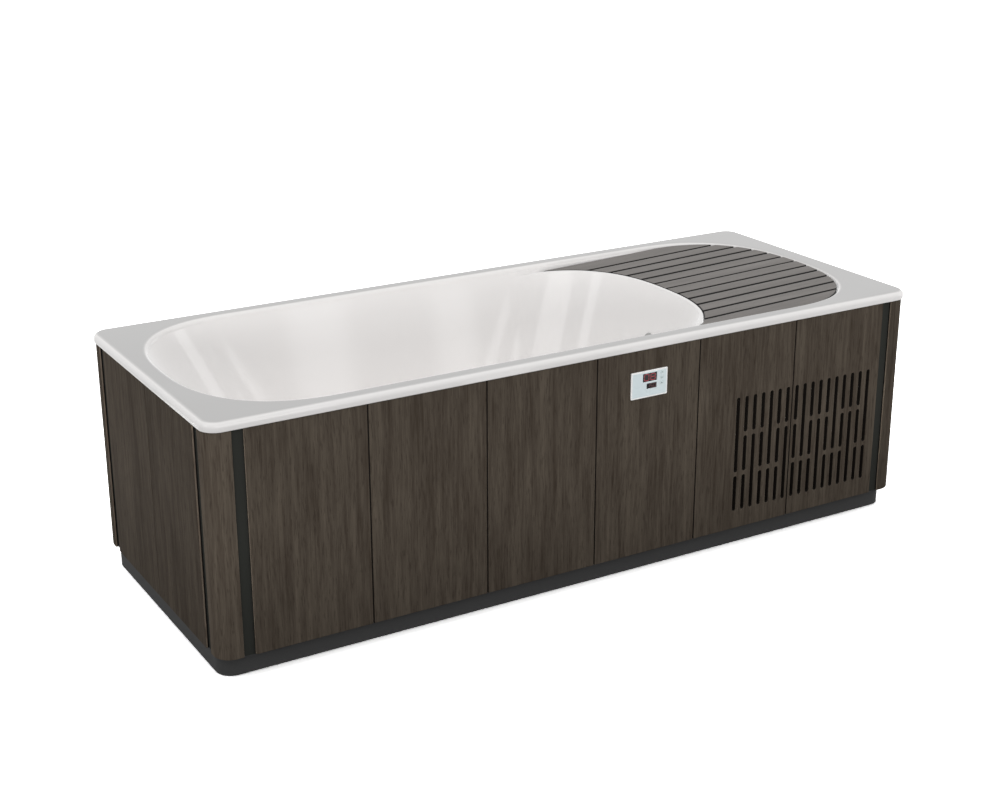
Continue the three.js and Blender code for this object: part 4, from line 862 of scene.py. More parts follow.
def slat_composite():
    """Grey wood-plastic slats with a fine brushed grain along their length and painted shade darkening
    their sides in the joints.
    """
    material, wiring, shader = new_material("slat_composite")
    position = wiring.position()
    x, y, z = wiring.parts(position)
    number = wiring.math("FLOOR", wiring.math("DIVIDE", y, SLAT_PITCH))
    moved = wiring.node("CombineXYZ")
    wiring.link(wiring.math("ADD", x, wiring.math("MULTIPLY", number, SLAT_GRAIN_SHIFT)), moved.inputs[0])
    wiring.link(y, moved.inputs[1])
    wiring.link(z, moved.inputs[2])
    brushed = wiring.noise(wiring.mapped(moved.outputs[0], (9, 520, 520)), 1.0, 3.0, 0.6)
    cloud = wiring.noise(wiring.mapped(moved.outputs[0], (2.5, 22, 22)), 1.0, 3.0)
    tone = wiring.math("ADD", wiring.math("MULTIPLY", brushed, 0.55), wiring.math("MULTIPLY", cloud, 0.45))
    colour = wiring.ramp(tone, [
        (0.32, linear(106, 103, 100)),
        (0.50, linear(118, 114, 111)),
        (0.70, linear(130, 126, 123)),
    ])
    # painted shade: the slats darken from just below their top, in the gaps between them
    top = wiring.math("MULTIPLY", wiring.math("SUBTRACT", x, DECK_RIGHT), math.tan(DECK_SLOPE))
    depth = wiring.math("SUBTRACT", wiring.math("ADD", top, RIM_TOP), z)
    add_painted_depth_shade(wiring, shader, colour, depth, SLAT_EDGE * 0.08, SLAT_EDGE * 0.25, (16, 15, 15))
    wiring.link(wiring.spread(brushed, 0.55, 0.72), shader.inputs["Roughness"])
    shader.inputs["Specular IOR Level"].default_value = 0.2
    add_bump(wiring, shader, brushed, 0.0003, 0.6)
    return material


def lit_digits(name, colour):
    """Red display segments behind a smoked lens."""
    material, wiring, shader = new_material(name)
    flicker = wiring.noise(wiring.position(), 1800.0, 1.0)
    glow = wiring.ramp(flicker, [(0.3, tuple(0.85 * c for c in colour)), (0.7, colour)])
    wiring.link(glow, shader.inputs["Emission Color"])
    wiring.link(glow, shader.inputs["Base Color"])
    shader.inputs["Emission Strength"].default_value = 1.0
    shader.inputs["Roughness"].default_value = 0.35
    return material


SHELL_FINISH = gloss_shell()
WOOD = board_wood()
# painted shade: a darker copy of the wood for the ends and all posts but the front left one, as if they
# caught less light
SHADED_WOOD = grained_wood("wood_painted_shade", 0.83)[0]
# painted light: a lighter copy of the wood for the front left post, standing in for the light on its
# rounded corner
LIT_POST_WOOD = grained_wood("post_wood_painted_light", 1.21)[0]
EDGE_PAINTED_LIGHT_AND_SHADE = painted_edge_light_and_shade()
SLAT = slat_composite()
CHANNEL = moulded("channel_paint", linear(53, 54, 51), 0.5, 1400.0, 0.00003, 0.05, specular=0.0)
PLINTH = moulded("plinth_coating", linear(74, 74, 74), 0.6, 700.0, 0.00008, 0.08, specular=0.03)
PLATE = moulded("plate_plastic", linear(219, 231, 234), 0.28, 2500.0, 0.00001, 0.02, specular=0.3)
BEZEL = moulded("bezel_plastic", linear(247, 247, 246), 0.3, 1500.0, 0.00001, 0.02)
LENS = moulded("smoked_lens", (0.006, 0.003, 0.003), 0.08, 3000.0, 0.000004, 0.02, specular=0.2)
KEY = moulded("key_plastic", linear(205, 219, 220), 0.34, 2600.0, 0.00001, 0.03)
KEY_MARK = moulded("key_mark_print", linear(120, 128, 132), 0.5, 3000.0, 0.000005, 0.05)
WHITE_PLASTIC = moulded("white_plastic", linear(226, 225, 223), 0.3, 1500.0, 0.00002, 0.03)
NOZZLE = moulded("nozzle_plastic", linear(160, 160, 158), 0.3, 1500.0, 0.00002, 0.03)
GREY_PLASTIC = moulded("grey_plastic", linear(140, 143, 144), 0.5, 900.0, 0.00006, 0.06)
BLACK_PLASTIC = moulded("black_plastic", linear(28, 29, 30), 0.5, 900.0, 0.00006, 0.1, specular=0.2)
# painted shade: the pipes are grey rather than white, standing in for the shade inside the cabinet
PIPE_PLASTIC = moulded("pipe_plastic", linear(150, 152, 154), 0.5, 900.0, 0.00005, 0.06, specular=0.1)
COMPRESSOR_PAINT = moulded("compressor_paint", linear(24, 25, 27), 0.35, 600.0, 0.00005, 0.1, metallic=0.1)
# painted shade: the condenser's fins are near-black, standing in for the shade behind the vent slots
FIN_PAINTED_SHADE = moulded("fin_painted_shade", linear(30, 30, 29), 0.6, 1200.0, 0.00004, 0.1, metallic=0.1)
# partly aged copper, partly painted shade: darkened so that it stays dim, as if in the shade of the cabinet
COPPER = moulded("aged_copper_and_painted_shade", linear(112, 70, 48), 0.45, 500.0, 0.00003, 0.15, metallic=0.7, specular=0.2)
PAPER = moulded("filter_paper", linear(215, 219, 226), 0.9, 2200.0, 0.0001, 0.08)
FOAM = moulded("foam_block", linear(200, 194, 174), 0.95, 420.0, 0.0004, 0.1)
MAIN_DIGITS = lit_digits("main_digits", linear(116, 35, 43))
LOWER_DIGITS = lit_digits("lower_digits", linear(62, 22, 27))


def dress(piece, body, slot, material, *nodes):
    """Gives a finished piece its material and its body, and hides the nodes that it stands for. The slot is
    not used.
    """
    piece.data.materials.clear()
    piece.data.materials.append(material)
    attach(piece, body)
    if nodes:
        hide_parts(*nodes)


def paint(material, *nodes):
    for node in nodes:
        frame["nodes"][node].material_slots[0].material = material


# Shell

def quarter(steps):
    """Angles from 0 to 90 degrees."""
    return [math.pi / 2 * step / steps for step in range(steps + 1)]


def rim_slab():
    def outline(inset):
        return rounded_rectangle(HALF_LENGTH - inset, HALF_WIDTH - inset, RIM_CORNER_RADIUS - inset)

    rings = []
    for angle in quarter(LIP_STEPS):
        inset = LIP_FOOT_RADIUS * (1 - math.sin(angle))
        rings.append(level(outline(inset), LIP_BOTTOM + LIP_FOOT_RADIUS * (1 - math.cos(angle))))
    for angle in quarter(FILLET_STEPS):
        inset = RIM_EDGE_RADIUS * (1 - math.cos(angle))
        rings.append(level(outline(inset), RIM_TOP - RIM_EDGE_RADIUS * (1 - math.sin(angle))))
    slab = loft("tub_shell_skin", rings)
    cut(slab, standing("rim_hollow", outline(LIP_WALL), LIP_BOTTOM - CUT_OVERLAP, RIM_TOP - RIM_THICKNESS))
    return slab


def basin_shape(height, inset=0.0):
    """The basin's oval at a height, between walls that lean inwards to the floor."""
    drop = (WEIR_TOP - height) / (WEIR_TOP - BASIN_FLOOR)
    return {
        "left": BASIN["left"] + BACK_LEAN * drop + inset,
        "right": BASIN["right"] - FOOT_LEAN * drop - inset,
        "half_width": BASIN["half_width"] - SIDE_LEAN * drop - inset,
        "end": BASIN["end"] - inset,
    }


def basin_rings(wall=0, top=None):
    """Rings of the basin's hollow, or with a wall the rings of the body round it, up to its top."""
    rings = []

    def add(height, inset):
        rings.append(level(oval(**grown(basin_shape(height, inset), wall)), height - wall))

    for angle in quarter(FILLET_STEPS):
        height = BASIN_FLOOR + FLOOR_RADIUS * (1 - math.cos(angle))
        add(height, FLOOR_RADIUS * (1 - math.sin(angle)))
    wall_foot = BASIN_FLOOR + FLOOR_RADIUS
    for row in range(1, WALL_ROWS):
        add(wall_foot + (WEIR_TOP - WEIR_EDGE_RADIUS - wall_foot) * row / WALL_ROWS, 0)
    if wall:
        rings.append(level(oval(**grown(BASIN, wall)), top))
        return rings
    for angle in quarter(EDGE_STEPS):
        rings.append(weir_ring(angle))
    rings.append([Vector((point.x, point.y, WEIR_TOP + CUT_OVERLAP)) for point in rings[-1]])
    return rings


def weir_ring(angle):
    """The basin's upper edge, rounded where it runs along the weir and follows the deck's slope there."""
    straight_end = BASIN["right"] - BASIN["end"]
    ring = []
    for index, (x, y) in enumerate(oval(**BASIN)):
        share = min(max((x - straight_end) / BASIN["end"], 0), 1)
        sloped = min(WEIR_BLEND * share, 1)
        top = WEIR_TOP + sloped * (weir_top(x) - WEIR_TOP)
        x, y = oval(**basin_shape(top))[index]
        x += WEIR_EDGE_RADIUS * (1 - math.cos(angle)) * share * share * (3 - 2 * share)
        top = WEIR_TOP + sloped * (weir_top(x) - WEIR_TOP)
        ring.append(Vector((x, y, top - WEIR_EDGE_RADIUS * (1 - math.sin(angle)))))
    return ring


def opening_rings():
    """Rings of the hollow above the weir: the whole oval opening with its rounded edge."""
    rings = [level(oval(**OPENING), WEIR_TOP)]
    for angle in quarter(FILLET_STEPS):
        shape = grown(OPENING, OPENING_EDGE_RADIUS * (1 - math.cos(angle)))
        rings.append(level(oval(**shape), RIM_TOP - OPENING_EDGE_RADIUS * (1 - math.sin(angle))))
    rings.append([point + Vector((0, 0, CUT_OVERLAP)) for point in rings[-1]])
    return rings


def tray_floor(x):
    return RIM_TOP - (DECK_RIGHT - x) * math.tan(DECK_SLOPE) - DECK_DEPTH / math.cos(DECK_SLOPE)


def weir_top(x):
    """The weir lies a step below the sloping deck."""
    return tray_floor(x) + DECK_DEPTH / math.cos(DECK_SLOPE) - WEIR_STEP


def weir_trim_rings():
    reach = OPENING["half_width"] - 2 * TRAY_STEP
    outline = crescent(grown(BASIN, -WEIR_WIDTH), grown(BASIN, WEIR_WIDTH + CUT_OVERLAP), reach)
    floor = [Vector((x, y, weir_top(x))) for x, y in outline]
    return [floor, level(outline, WEIR_TOP + CUT_OVERLAP)]


def tray_rings(inner, outer, floor_drop, top):
    outline = crescent(inner, outer, outer["half_width"] - TRAY_STEP)
    floor = [Vector((x, y, tray_floor(x) - floor_drop)) for x, y in outline]
    return [floor, level(outline, top)]


def make_shell():
    rim_core = RIM_TOP - RIM_THICKNESS / 2
    tray = grown(OPENING, -TRAY_STEP)
    shell = rim_slab()
    combine(shell, loft("basin_body", basin_rings(SHELL_WALL, rim_core)), "UNION")
    tray_body = tray_rings(BASIN, grown(tray, SHELL_WALL), SHELL_WALL, rim_core)
    combine(shell, loft("tray_body", tray_body), "UNION")
    cut(
        shell,
        loft("opening_hollow", opening_rings()),
        loft("basin_hollow", basin_rings()),
        loft("tray_hollow", tray_rings(grown(BASIN, WEIR_WIDTH), tray, 0, WEIR_TOP + CUT_OVERLAP)),
        loft("weir_trim", weir_trim_rings()),
    )
    smooth(shell, 35)
    dress(shell, "tub", "acrylic", SHELL_FINISH, "tub_shell")


make_shell()


# Cladding

POST_END = HALF_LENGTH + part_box("corner_post_front_left")[1].x
REVEAL_END = HALF_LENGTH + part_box("front_panel_1")[0].x


def is_upright(edge):
    return abs(edge_run(edge).z) > ALONG_AXIS


def slot_tool(low, high, front, back):
    """A vent slot's cutter at x = 0, flared where it breaks the board's face."""
    radius = VENT_WIDTH / 2

    def outline(growth):
        upper = arc(0, high - radius, radius + growth, 0, 180, SLOT_STEPS)
        return upper + arc(0, low + radius, radius + growth, 180, 360, SLOT_STEPS)

    return loft("slot", [
        upright(outline(VENT_CHAMFER + CUT_OVERLAP), front - CUT_OVERLAP),
        upright(outline(0), front + VENT_CHAMFER),
        upright(outline(0), back + CUT_OVERLAP),
    ])


def vent_tool(name, columns, front, back):
    """All slots of some columns as one cutter: (column, x) pairs."""
    third = VENT_LENGTH + VENT_BRIDGE
    patterns = {}
    slots = []
    for column, x in columns:
        lower_bridge = column % 4 != 2
        upper_bridge = column % 4 != 0
        starts = [0] + [1] * lower_bridge + [2] * upper_bridge
        for start, end in zip(starts, starts[1:] + [3]):
            if (start, end) not in patterns:
                low = VENT_BOTTOM + start * third
                high = VENT_BOTTOM + end * third - VENT_BRIDGE
                patterns[start, end] = slot_tool(low, high, front, back)
            slots.append(place(copy_of(patterns[start, end], "slot_copy"), Matrix.Translation((x, 0, 0))))
    for pattern in patterns.values():
        bpy.data.objects.remove(pattern)
    return merge(name, slots)


def vent_columns():
    seam = 2 * BOARD_PITCH
    first = seam - VENT_SEAM_MARGIN - (VENT_COLUMNS_LEFT - 1) * VENT_PITCH
    left = [first + i * VENT_PITCH for i in range(VENT_COLUMNS_LEFT)]
    right = [seam + VENT_SEAM_MARGIN + i * VENT_PITCH for i in range(VENT_COLUMNS_RIGHT)]
    return list(enumerate(left + right))


def make_board(node, *tools):
    """A board with eased edges in a node's place, cut by its tools."""
    low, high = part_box(node)
    board = block(node + "_board", low, high)
    bevel(board, lambda edge: True, BOARD_EDGE, 2)
    cut(board, *tools)
    return board


def finish_board(board, node, material=WOOD):
    """Gives a board its wood, with a painted highlight and painted shade on its ends beside a corner
    reveal.
    """
    smooth(board, 30)
    dress(board, "tub", "wood", material, node)
    # the ends beside a corner reveal get the painted highlight and painted shade
    board.data.materials.append(EDGE_PAINTED_LIGHT_AND_SHADE)
    for face in board.data.polygons:
        if is_reveal_end(face):
            face.material_index = 1


def is_reveal_end(face):
    """Whether a board's face is one of the cut ends on both sides of a corner reveal."""
    if abs(face.normal.x) > ALONG_AXIS:
        from_corner = HALF_LENGTH - abs(face.center.x)
    elif abs(face.normal.y) > ALONG_AXIS:
        from_corner = HALF_WIDTH - abs(face.center.y)
    else:
        return False
    return min(abs(from_corner - POST_END), abs(from_corner - REVEAL_END)) < BOARD_EDGE


def groove_tool(middle, outward, low, high):
    """A V-shaped cutter down a board's face, whose outer face looks along outward."""
    side = Vector((-outward.y, outward.x, 0))
    mouth = middle + outward * CUT_OVERLAP
    flare = GROOVE_WIDTH / 2 * (1 + CUT_OVERLAP / GROOVE_DEPTH)
    corners = [mouth + side * flare, middle - outward * GROOVE_DEPTH, mouth - side * flare]
    rings = [[Vector((c.x, c.y, z)) for c in corners] for z in (low - CUT_OVERLAP, high + CUT_OVERLAP)]
    return loft("groove", rings)


def make_front_boards():
    low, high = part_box("front_panel_1")
    columns = vent_columns()
    plate_low, plate_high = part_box("control_plate")
    for number in range(1, FRONT_BOARDS + 1):
        node = f"front_panel_{number}"
        left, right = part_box(node)[0].x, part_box(node)[1].x
        tools = []
        inside = [(column, x) for column, x in columns if left < x < right]
        if inside:
            tools.append(vent_tool("vents", inside, low.y, high.y))
        if left < plate_low.x < right:
            margin = Vector((CUTOUT_MARGIN, 0, CUTOUT_MARGIN))
            cutout_low = plate_low + margin
            cutout_high = plate_high - margin
            cutout_low.y = low.y - CUT_OVERLAP
            cutout_high.y = high.y + CUT_OVERLAP
            tools.append(block("cutout", cutout_low, cutout_high))
        finish_board(make_board(node, *tools), node)


def make_grooved_boards():
    """The end boards and the rear boards, each with a groove down its middle joint."""
    faces = [
        ("left_panel", 0.0, Vector((-1, 0, 0))),
        ("right_panel", 0.0, Vector((1, 0, 0))),
        ("rear_panel_1", -2 * BOARD_PITCH, Vector((0, 1, 0))),
        ("rear_panel_2", 0.0, Vector((0, 1, 0))),
        ("rear_panel_3", 2 * BOARD_PITCH, Vector((0, 1, 0))),
    ]
    spigot_low, spigot_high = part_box("drain_valve")
    for node, joint, outward in faces:
        low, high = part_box(node)
        if outward.x:
            middle = Vector((high.x if outward.x > 0 else low.x, joint, 0))
        else:
            middle = Vector((joint, high.y, 0))
        tools = [groove_tool(middle, outward, low.z, high.z)]
        if outward.y and low.x < spigot_low.x and spigot_high.x < high.x:
            tools.append(drain_hole_tool(low.y, high.y))
        # the end boards take the wood with painted shade
        finish_board(make_board(node, *tools), node, SHADED_WOOD if outward.x else WOOD)


def drain_middle():
    """Axis of the drain outlet: (x, z)."""
    low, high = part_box("drain_valve")
    return (low.x + high.x) / 2, low.z + DRAIN_VALVE_RADIUS


def drain_hole_tool(front, back):
    x, z = drain_middle()
    outline = circle(x, z, DRAIN_SPIGOT_RADIUS + DRAIN_HOLE_GAP)
    return across("drain_hole", outline, front - CUT_OVERLAP, back + CUT_OVERLAP)


def make_corner_posts():
    """One rounded post, spun and drawn out at the front left, and its three turned copies."""
    low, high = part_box("corner_post_front_left")
    centre = Vector((low.x + POST_RADIUS, low.y + POST_RADIUS, 0))
    post = block("corner_post", (low.x, centre.y, low.z), (low.x + BOARD_THICKNESS, high.y, high.z))
    pick_faces(post, lambda face: face.normal.y < -ALONG_AXIS)
    bpy.ops.mesh.spin(steps=CORNER_STEPS, angle=-math.pi / 2, center=centre, axis=(0, 0, 1))
    bpy.ops.mesh.extrude_region_move(TRANSFORM_OT_translate={"value": (high.x - centre.x, 0, 0)})
    bpy.ops.mesh.select_all(action="SELECT")
    bpy.ops.mesh.remove_doubles(threshold=MERGE_DISTANCE)
    face_outwards(post)
    bevel(post, is_corner, BOARD_EDGE, 2)
    for turn, corner in enumerate(("front_left", "front_right", "rear_right", "rear_left")):
        node = f"corner_post_{corner}"
        twin = place(copy_of(post, node + "_wood"), corner_turn(turn, low))
        # the front left post takes the wood with painted light, the other posts the wood with painted shade
        finish_board(twin, node, SHADED_WOOD if turn else LIT_POST_WOOD)
    bpy.data.objects.remove(post)


def corner_turn(turn, low):
    """Turns a front-left piece onto another corner, where the legs are of one length."""
    signs = ((-1, -1), (1, -1), (1, 1), (-1, 1))[turn]
    here = Matrix.Translation((-low.x, -low.y, 0))
    there = Matrix.Translation((-signs[0] * low.x, -signs[1] * low.y, 0))
    return there @ Matrix.Rotation(turn * math.pi / 2, 4, "Z") @ here


def plinth_outline(inset):
    half_x = HALF_LENGTH - PLINTH_END_SETBACK - inset
    half_y = HALF_WIDTH - PLINTH_SIDE_SETBACK - inset
    return rounded_rectangle(half_x, half_y, PLINTH_CORNER_RADIUS - inset)


def under_bay_tools():
    """Cutters of the shallow hollows between the ribs of the plinth's underside."""
    half_x = HALF_LENGTH - PLINTH_END_SETBACK
    half_y = HALF_WIDTH - PLINTH_SIDE_SETBACK - UNDER_RIB
    pitch = (2 * half_x - UNDER_RIB) / UNDER_BAYS
    tools = []
    for bay in range(UNDER_BAYS):
        left = -half_x + UNDER_RIB + bay * pitch
        right = left + pitch - UNDER_RIB
        tool = block("under_bay", (left, -half_y, -CUT_OVERLAP), (right, half_y, UNDER_DEPTH))
        bevel(tool, is_upright, UNDER_RIB / 4, 4)
        tools.append(tool)
    return tools


def make_plinth():
    """The base pan: a wall with eased foot, a ledge under the cladding, a pocket and a cable hole."""
    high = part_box("plinth")[1]
    rings = []
    for angle in quarter(LIP_STEPS):
        outline = plinth_outline(PLINTH_EDGE * (1 - math.sin(angle)))
        rings.append(level(outline, PLINTH_EDGE * (1 - math.cos(angle))))
    rings.append(level(plinth_outline(0), high.z))
    plinth = loft("plinth_tray", rings)
    ledge = rounded_rectangle(high.x, high.y, POST_RADIUS - LEDGE_SETBACK)
    combine(plinth, standing("ledge", ledge, high.z - LEDGE_THICKNESS, high.z), "UNION")
    cable_x = HALF_LENGTH - PLINTH_END_SETBACK - CABLE_HOLE_INSET
    cable_y = HALF_WIDTH - PLINTH_SIDE_SETBACK - CABLE_HOLE_INSET
    cable = circle(cable_x, cable_y, CABLE_HOLE_RADIUS)
    cut(
        plinth,
        standing("pocket", plinth_outline(PLINTH_WALL), PLINTH_FLOOR, high.z + CUT_OVERLAP),
        standing("cable_hole", cable, -CUT_OVERLAP, PLINTH_FLOOR + CUT_OVERLAP),
        *under_bay_tools(),
    )
    smooth(plinth, 30)
    dress(plinth, "tub", "plinth", PLINTH, "plinth")


make_front_boards()
make_grooved_boards()
make_corner_posts()
make_plinth()
paint(CHANNEL, *[node for node in frame["nodes"] if node.startswith("corner_channel")])


# Deck

def make_deck():
    """One blank of the deck's outline, sawn into slats along X and laid on its slope."""
    outer = grown(OPENING, -DECK_WALL_GAP)
    inner = grown(BASIN, WEIR_WIDTH + DECK_WEIR_GAP)
    reach = outer["half_width"] - DECK_WALL_GAP
    outline = [(x - DECK_RIGHT, y) for x, y in crescent(inner, outer, reach)]
    blank = standing("deck_blank", outline, -SLAT_THICKNESS, 0)
    for slat in range(1, SLAT_COUNT + 1):
        node = f"deck_slat_{slat}"
        piece = copy_of(blank, node + "_plank")
        low = (slat - 1 - SLAT_COUNT / 2) * SLAT_PITCH + SLAT_GAP / 2
        high = (slat - SLAT_COUNT / 2) * SLAT_PITCH - SLAT_GAP / 2
        for y, direction, is_end in ((low, -1, slat == 1), (high, 1, slat == SLAT_COUNT)):
            if is_end:
                continue
            edit_mesh(piece)
            bpy.ops.mesh.select_all(action="SELECT")
            bpy.ops.mesh.bisect(
                plane_co=(0, y, 0), plane_no=(0, direction, 0), use_fill=True, clear_outer=True
            )
            face_outwards(piece)
        bevel(piece, lambda edge: is_corner(edge, math.radians(35)), SLAT_EDGE, 3)
        place(piece, DECK_FRAME)
        smooth(piece, 30)
        dress(piece, "deck", "deck_slat", SLAT, node)
    bpy.data.objects.remove(blank)


def make_battens():
    for number, centre in enumerate((DECK_LEFT + BATTEN_INSET, DECK_RIGHT - BATTEN_INSET), start=1):
        node = f"deck_batten_{number}"
        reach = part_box(node)[1].y
        top = -SLAT_THICKNESS - FIT_GAP
        x = centre - DECK_RIGHT
        low = (x - BATTEN_WIDTH / 2, -reach, top - BATTEN_THICKNESS)
        batten = block(node + "_rail", low, (x + BATTEN_WIDTH / 2, reach, top))
        bevel(batten, lambda edge: True, BATTEN_EDGE, 3)
        place(batten, DECK_FRAME)
        smooth(batten, 30)
        dress(batten, "deck", "deck_slat", SLAT, node)


make_deck()
make_battens()


# Control panel

PLATE_LOW, PLATE_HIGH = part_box("control_plate")
CONTROL_X = (PLATE_LOW.x + PLATE_HIGH.x) / 2
CONTROL_Z = (PLATE_LOW.z + PLATE_HIGH.z) / 2

SEGMENTS = {
    "top": (0.0, 1.0, True),
    "upper_left": (-0.5, 0.5, False),
    "upper_right": (0.5, 0.5, False),
    "middle": (0.0, 0.0, True),
    "lower_left": (-0.5, -0.5, False),
    "lower_right": (0.5, -0.5, False),
    "bottom": (0.0, -1.0, True),
}
DIGITS = {
    "0": ("top", "upper_left", "upper_right", "lower_left", "lower_right", "bottom"),
    "1": ("upper_right", "lower_right"),
    "5": ("top", "upper_left", "middle", "lower_right", "bottom"),
    "8": tuple(SEGMENTS),
}


def window_tool(window):
    x, z = CONTROL_X + window["x"], CONTROL_Z + window["z"]
    half_x, half_z = window["width"] / 2, window["height"] / 2
    low = (x - half_x, PLATE_LOW.y - CUT_OVERLAP, z - half_z)
    high = (x + half_x, PLATE_HIGH.y + CUT_OVERLAP, z + half_z)
    return block("window", low, high)


def key_outline(low, high, growth):
    centre = ((low.x + high.x) / 2, (low.z + high.z) / 2)
    half_x = (high.x - low.x) / 2 - KEY_FLANGE + growth
    half_z = (high.z - low.z) / 2 - KEY_FLANGE + growth
    return rounded_rectangle(half_x, half_z, KEY_RADIUS + growth, centre, 6)


def panel_tools(growth):
    """Cutters of the panel's windows and key holes."""
    tools = [window_tool(MAIN_WINDOW), window_tool(LOWER_WINDOW)]
    for number in (1, 2, 3):
        outline = key_outline(*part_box(f"control_key_{number}"), FIT_GAP + growth)
        tools.append(across("key_hole", outline, PLATE_LOW.y - CUT_OVERLAP, PLATE_HIGH.y + CUT_OVERLAP))
    return tools


def make_plate():
    """The white bezel on the board."""
    plate = block("control_plate_face", PLATE_LOW, PLATE_HIGH)
    bevel(plate, lambda edge: abs(edge_run(edge).y) > ALONG_AXIS, PLATE_CORNER, 6)
    front = PLATE_LOW.y + FACE_TOLERANCE
    bevel(plate, lambda edge: is_corner(edge) and edge_middle(edge).y < front, PLATE_EDGE, 3)
    cut(plate, *panel_tools(0))
    smooth(plate, 30)
    dress(plate, "tub", "control_plate", BEZEL, "control_plate")


def make_membrane():
    """The pale film on the bezel, with the same windows and key holes."""
    inset = Vector((MEMBRANE_INSET, 0, MEMBRANE_INSET))
    low = PLATE_LOW + inset
    high = PLATE_HIGH - inset
    low.y = PLATE_LOW.y - MEMBRANE_THICKNESS
    high.y = PLATE_LOW.y + MEMBRANE_THICKNESS
    membrane = block("control_membrane", low, high)
    bevel(membrane, lambda edge: abs(edge_run(edge).y) > ALONG_AXIS, PLATE_CORNER / 2, 5)
    front = low.y + FACE_TOLERANCE
    bevel(membrane, lambda edge: is_corner(edge) and edge_middle(edge).y < front, MEMBRANE_THICKNESS / 2, 2)
    cut(membrane, *panel_tools(MEMBRANE_THICKNESS))
    smooth(membrane, 30)
    dress(membrane, "tub", "control_plate", PLATE)


def bar(x, z, length, width, flat, front, back):
    """A display segment: a bar with pointed ends, lying or standing."""
    half, side = length / 2, width / 2
    shoulder = half - side
    upper = [(half, 0), (shoulder, side), (-shoulder, side)]
    outline = upper + [(-a, -b) for a, b in upper]
    if not flat:
        outline = [(-b, a) for a, b in outline]
    points = [(x + a, z + b) for a, b in outline]
    return across("segment", points, front, back)


def make_digits(name, text, window, height, width, material):
    """Numbers of display segments on the lens, in the middle of a window."""
    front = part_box("display_lens")[0].y - DIGIT_LIFT
    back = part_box("display_lens")[0].y + DIGIT_LIFT
    rise = height / 2
    pitch = width + height * DIGIT_GAP
    bars = []
    for place_number, digit in enumerate(text):
        x = CONTROL_X + window["x"] + (place_number - (len(text) - 1) / 2) * pitch
        z = CONTROL_Z + window["z"]
        for segment in DIGITS[digit]:
            along, up, flat = SEGMENTS[segment]
            length = SEGMENT_LENGTH * (width if flat else rise)
            centre = (x + along * width, z + up * rise)
            bars.append(bar(*centre, length, height * SEGMENT_WIDTH, flat, front, back))
    digits = merge(name, bars)
    dress(digits, "tub", "display_lens", material)


def make_keys():
    """Three caps with a flange behind the plate, and the up, down and dot marks printed on them."""
    marks = [
        [(-MARK_HALF, -MARK_FOOT), (MARK_HALF, -MARK_FOOT), (0.0, MARK_TIP)],
        [(-MARK_HALF, MARK_FOOT), (0.0, -MARK_TIP), (MARK_HALF, MARK_FOOT)],
        circle(0, 0, MARK_TIP, 20),
    ]
    for number, mark in enumerate(marks, start=1):
        node = f"control_key_{number}"
        low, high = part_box(node)
        top = low.y
        flange = key_outline(low, high, KEY_FLANGE)
        rings = [upright(flange, y) for y in (high.y, high.y - KEY_FLANGE)]
        rings.append(upright(key_outline(low, high, 0), high.y - KEY_FLANGE))
        for angle in quarter(EDGE_STEPS):
            outline = key_outline(low, high, -KEY_EDGE * (1 - math.cos(angle)))
            rings.append(upright(outline, top + KEY_EDGE * (1 - math.sin(angle))))
        key = loft(node + "_cap", rings)
        smooth(key, 40)
        dress(key, f"key_{number}", "white_plastic", KEY, node)
        centre_x, centre_z = (low.x + high.x) / 2, (low.z + high.z) / 2
        outline = [(centre_x + x, centre_z + z) for x, z in mark]
        print_mark = across(f"key_mark_{number}", outline, top + MARK_SINK, top - MARK_LIFT)
        dress(print_mark, f"key_{number}", "white_plastic", KEY_MARK)


make_plate()
make_membrane()
make_keys()
make_digits("main_display_digits", "08", MAIN_WINDOW, *MAIN_DIGIT_SIZE, MAIN_DIGITS)
make_digits("lower_display_digits", "150", LOWER_WINDOW, *LOWER_DIGIT_SIZE, LOWER_DIGITS)
paint(LENS, "display_lens")
paint(BLACK_PLASTIC, "control_box")


# Water fittings and machinery

FILTER_FRAME = DECK_FRAME @ Matrix.Translation((-DECK_LENGTH / 2, FILTER_Y, -DECK_DEPTH))


def ring_of(tool, count, name):
    """Copies of a cutter, turned round Z and merged into one."""
    turns = [Matrix.Rotation(2 * math.pi * i / count, 4, "Z") for i in range(count)]
    copies = [place(copy_of(tool, name), turn) for turn in turns]
    bpy.data.objects.remove(tool)
    return merge(name, copies)


def make_suction_fitting():
    """A low dome over the suction in the basin's floor, with a ring of slots."""
    fitting = turned("suction_cover", eased([
        (0, -SHELL_WALL - SUCTION_SHANK),
        (SUCTION_SHANK_RADIUS, -SHELL_WALL - SUCTION_SHANK),
        (SUCTION_SHANK_RADIUS, FIT_GAP),
        (SUCTION_RADIUS, FIT_GAP),
        (SUCTION_RADIUS - SUCTION_EDGE, FIT_GAP + SUCTION_HEIGHT * 0.8),
        (SUCTION_RADIUS * 0.6, FIT_GAP + SUCTION_HEIGHT),
        (0, FIT_GAP + SUCTION_HEIGHT),
    ], SUCTION_EDGE))
    half_slot = (SUCTION_RADIUS * 0.26, SUCTION_SLOT_WIDTH / 2)
    outline = rounded_rectangle(*half_slot, SUCTION_SLOT_RADIUS, (SUCTION_RADIUS * 0.58, 0), EDGE_STEPS)
    slot = standing("slot", outline, FIT_GAP + SUCTION_HEIGHT * 0.35, 2 * SUCTION_HEIGHT)
    cut(fitting, ring_of(slot, SUCTION_SLOTS, "slots"))
    place(fitting, Matrix.Translation((SUCTION_X, 0, BASIN_FLOOR)))
    smooth(fitting, 35)
    dress(fitting, "tub", "white_plastic", WHITE_PLASTIC, "suction_fitting")


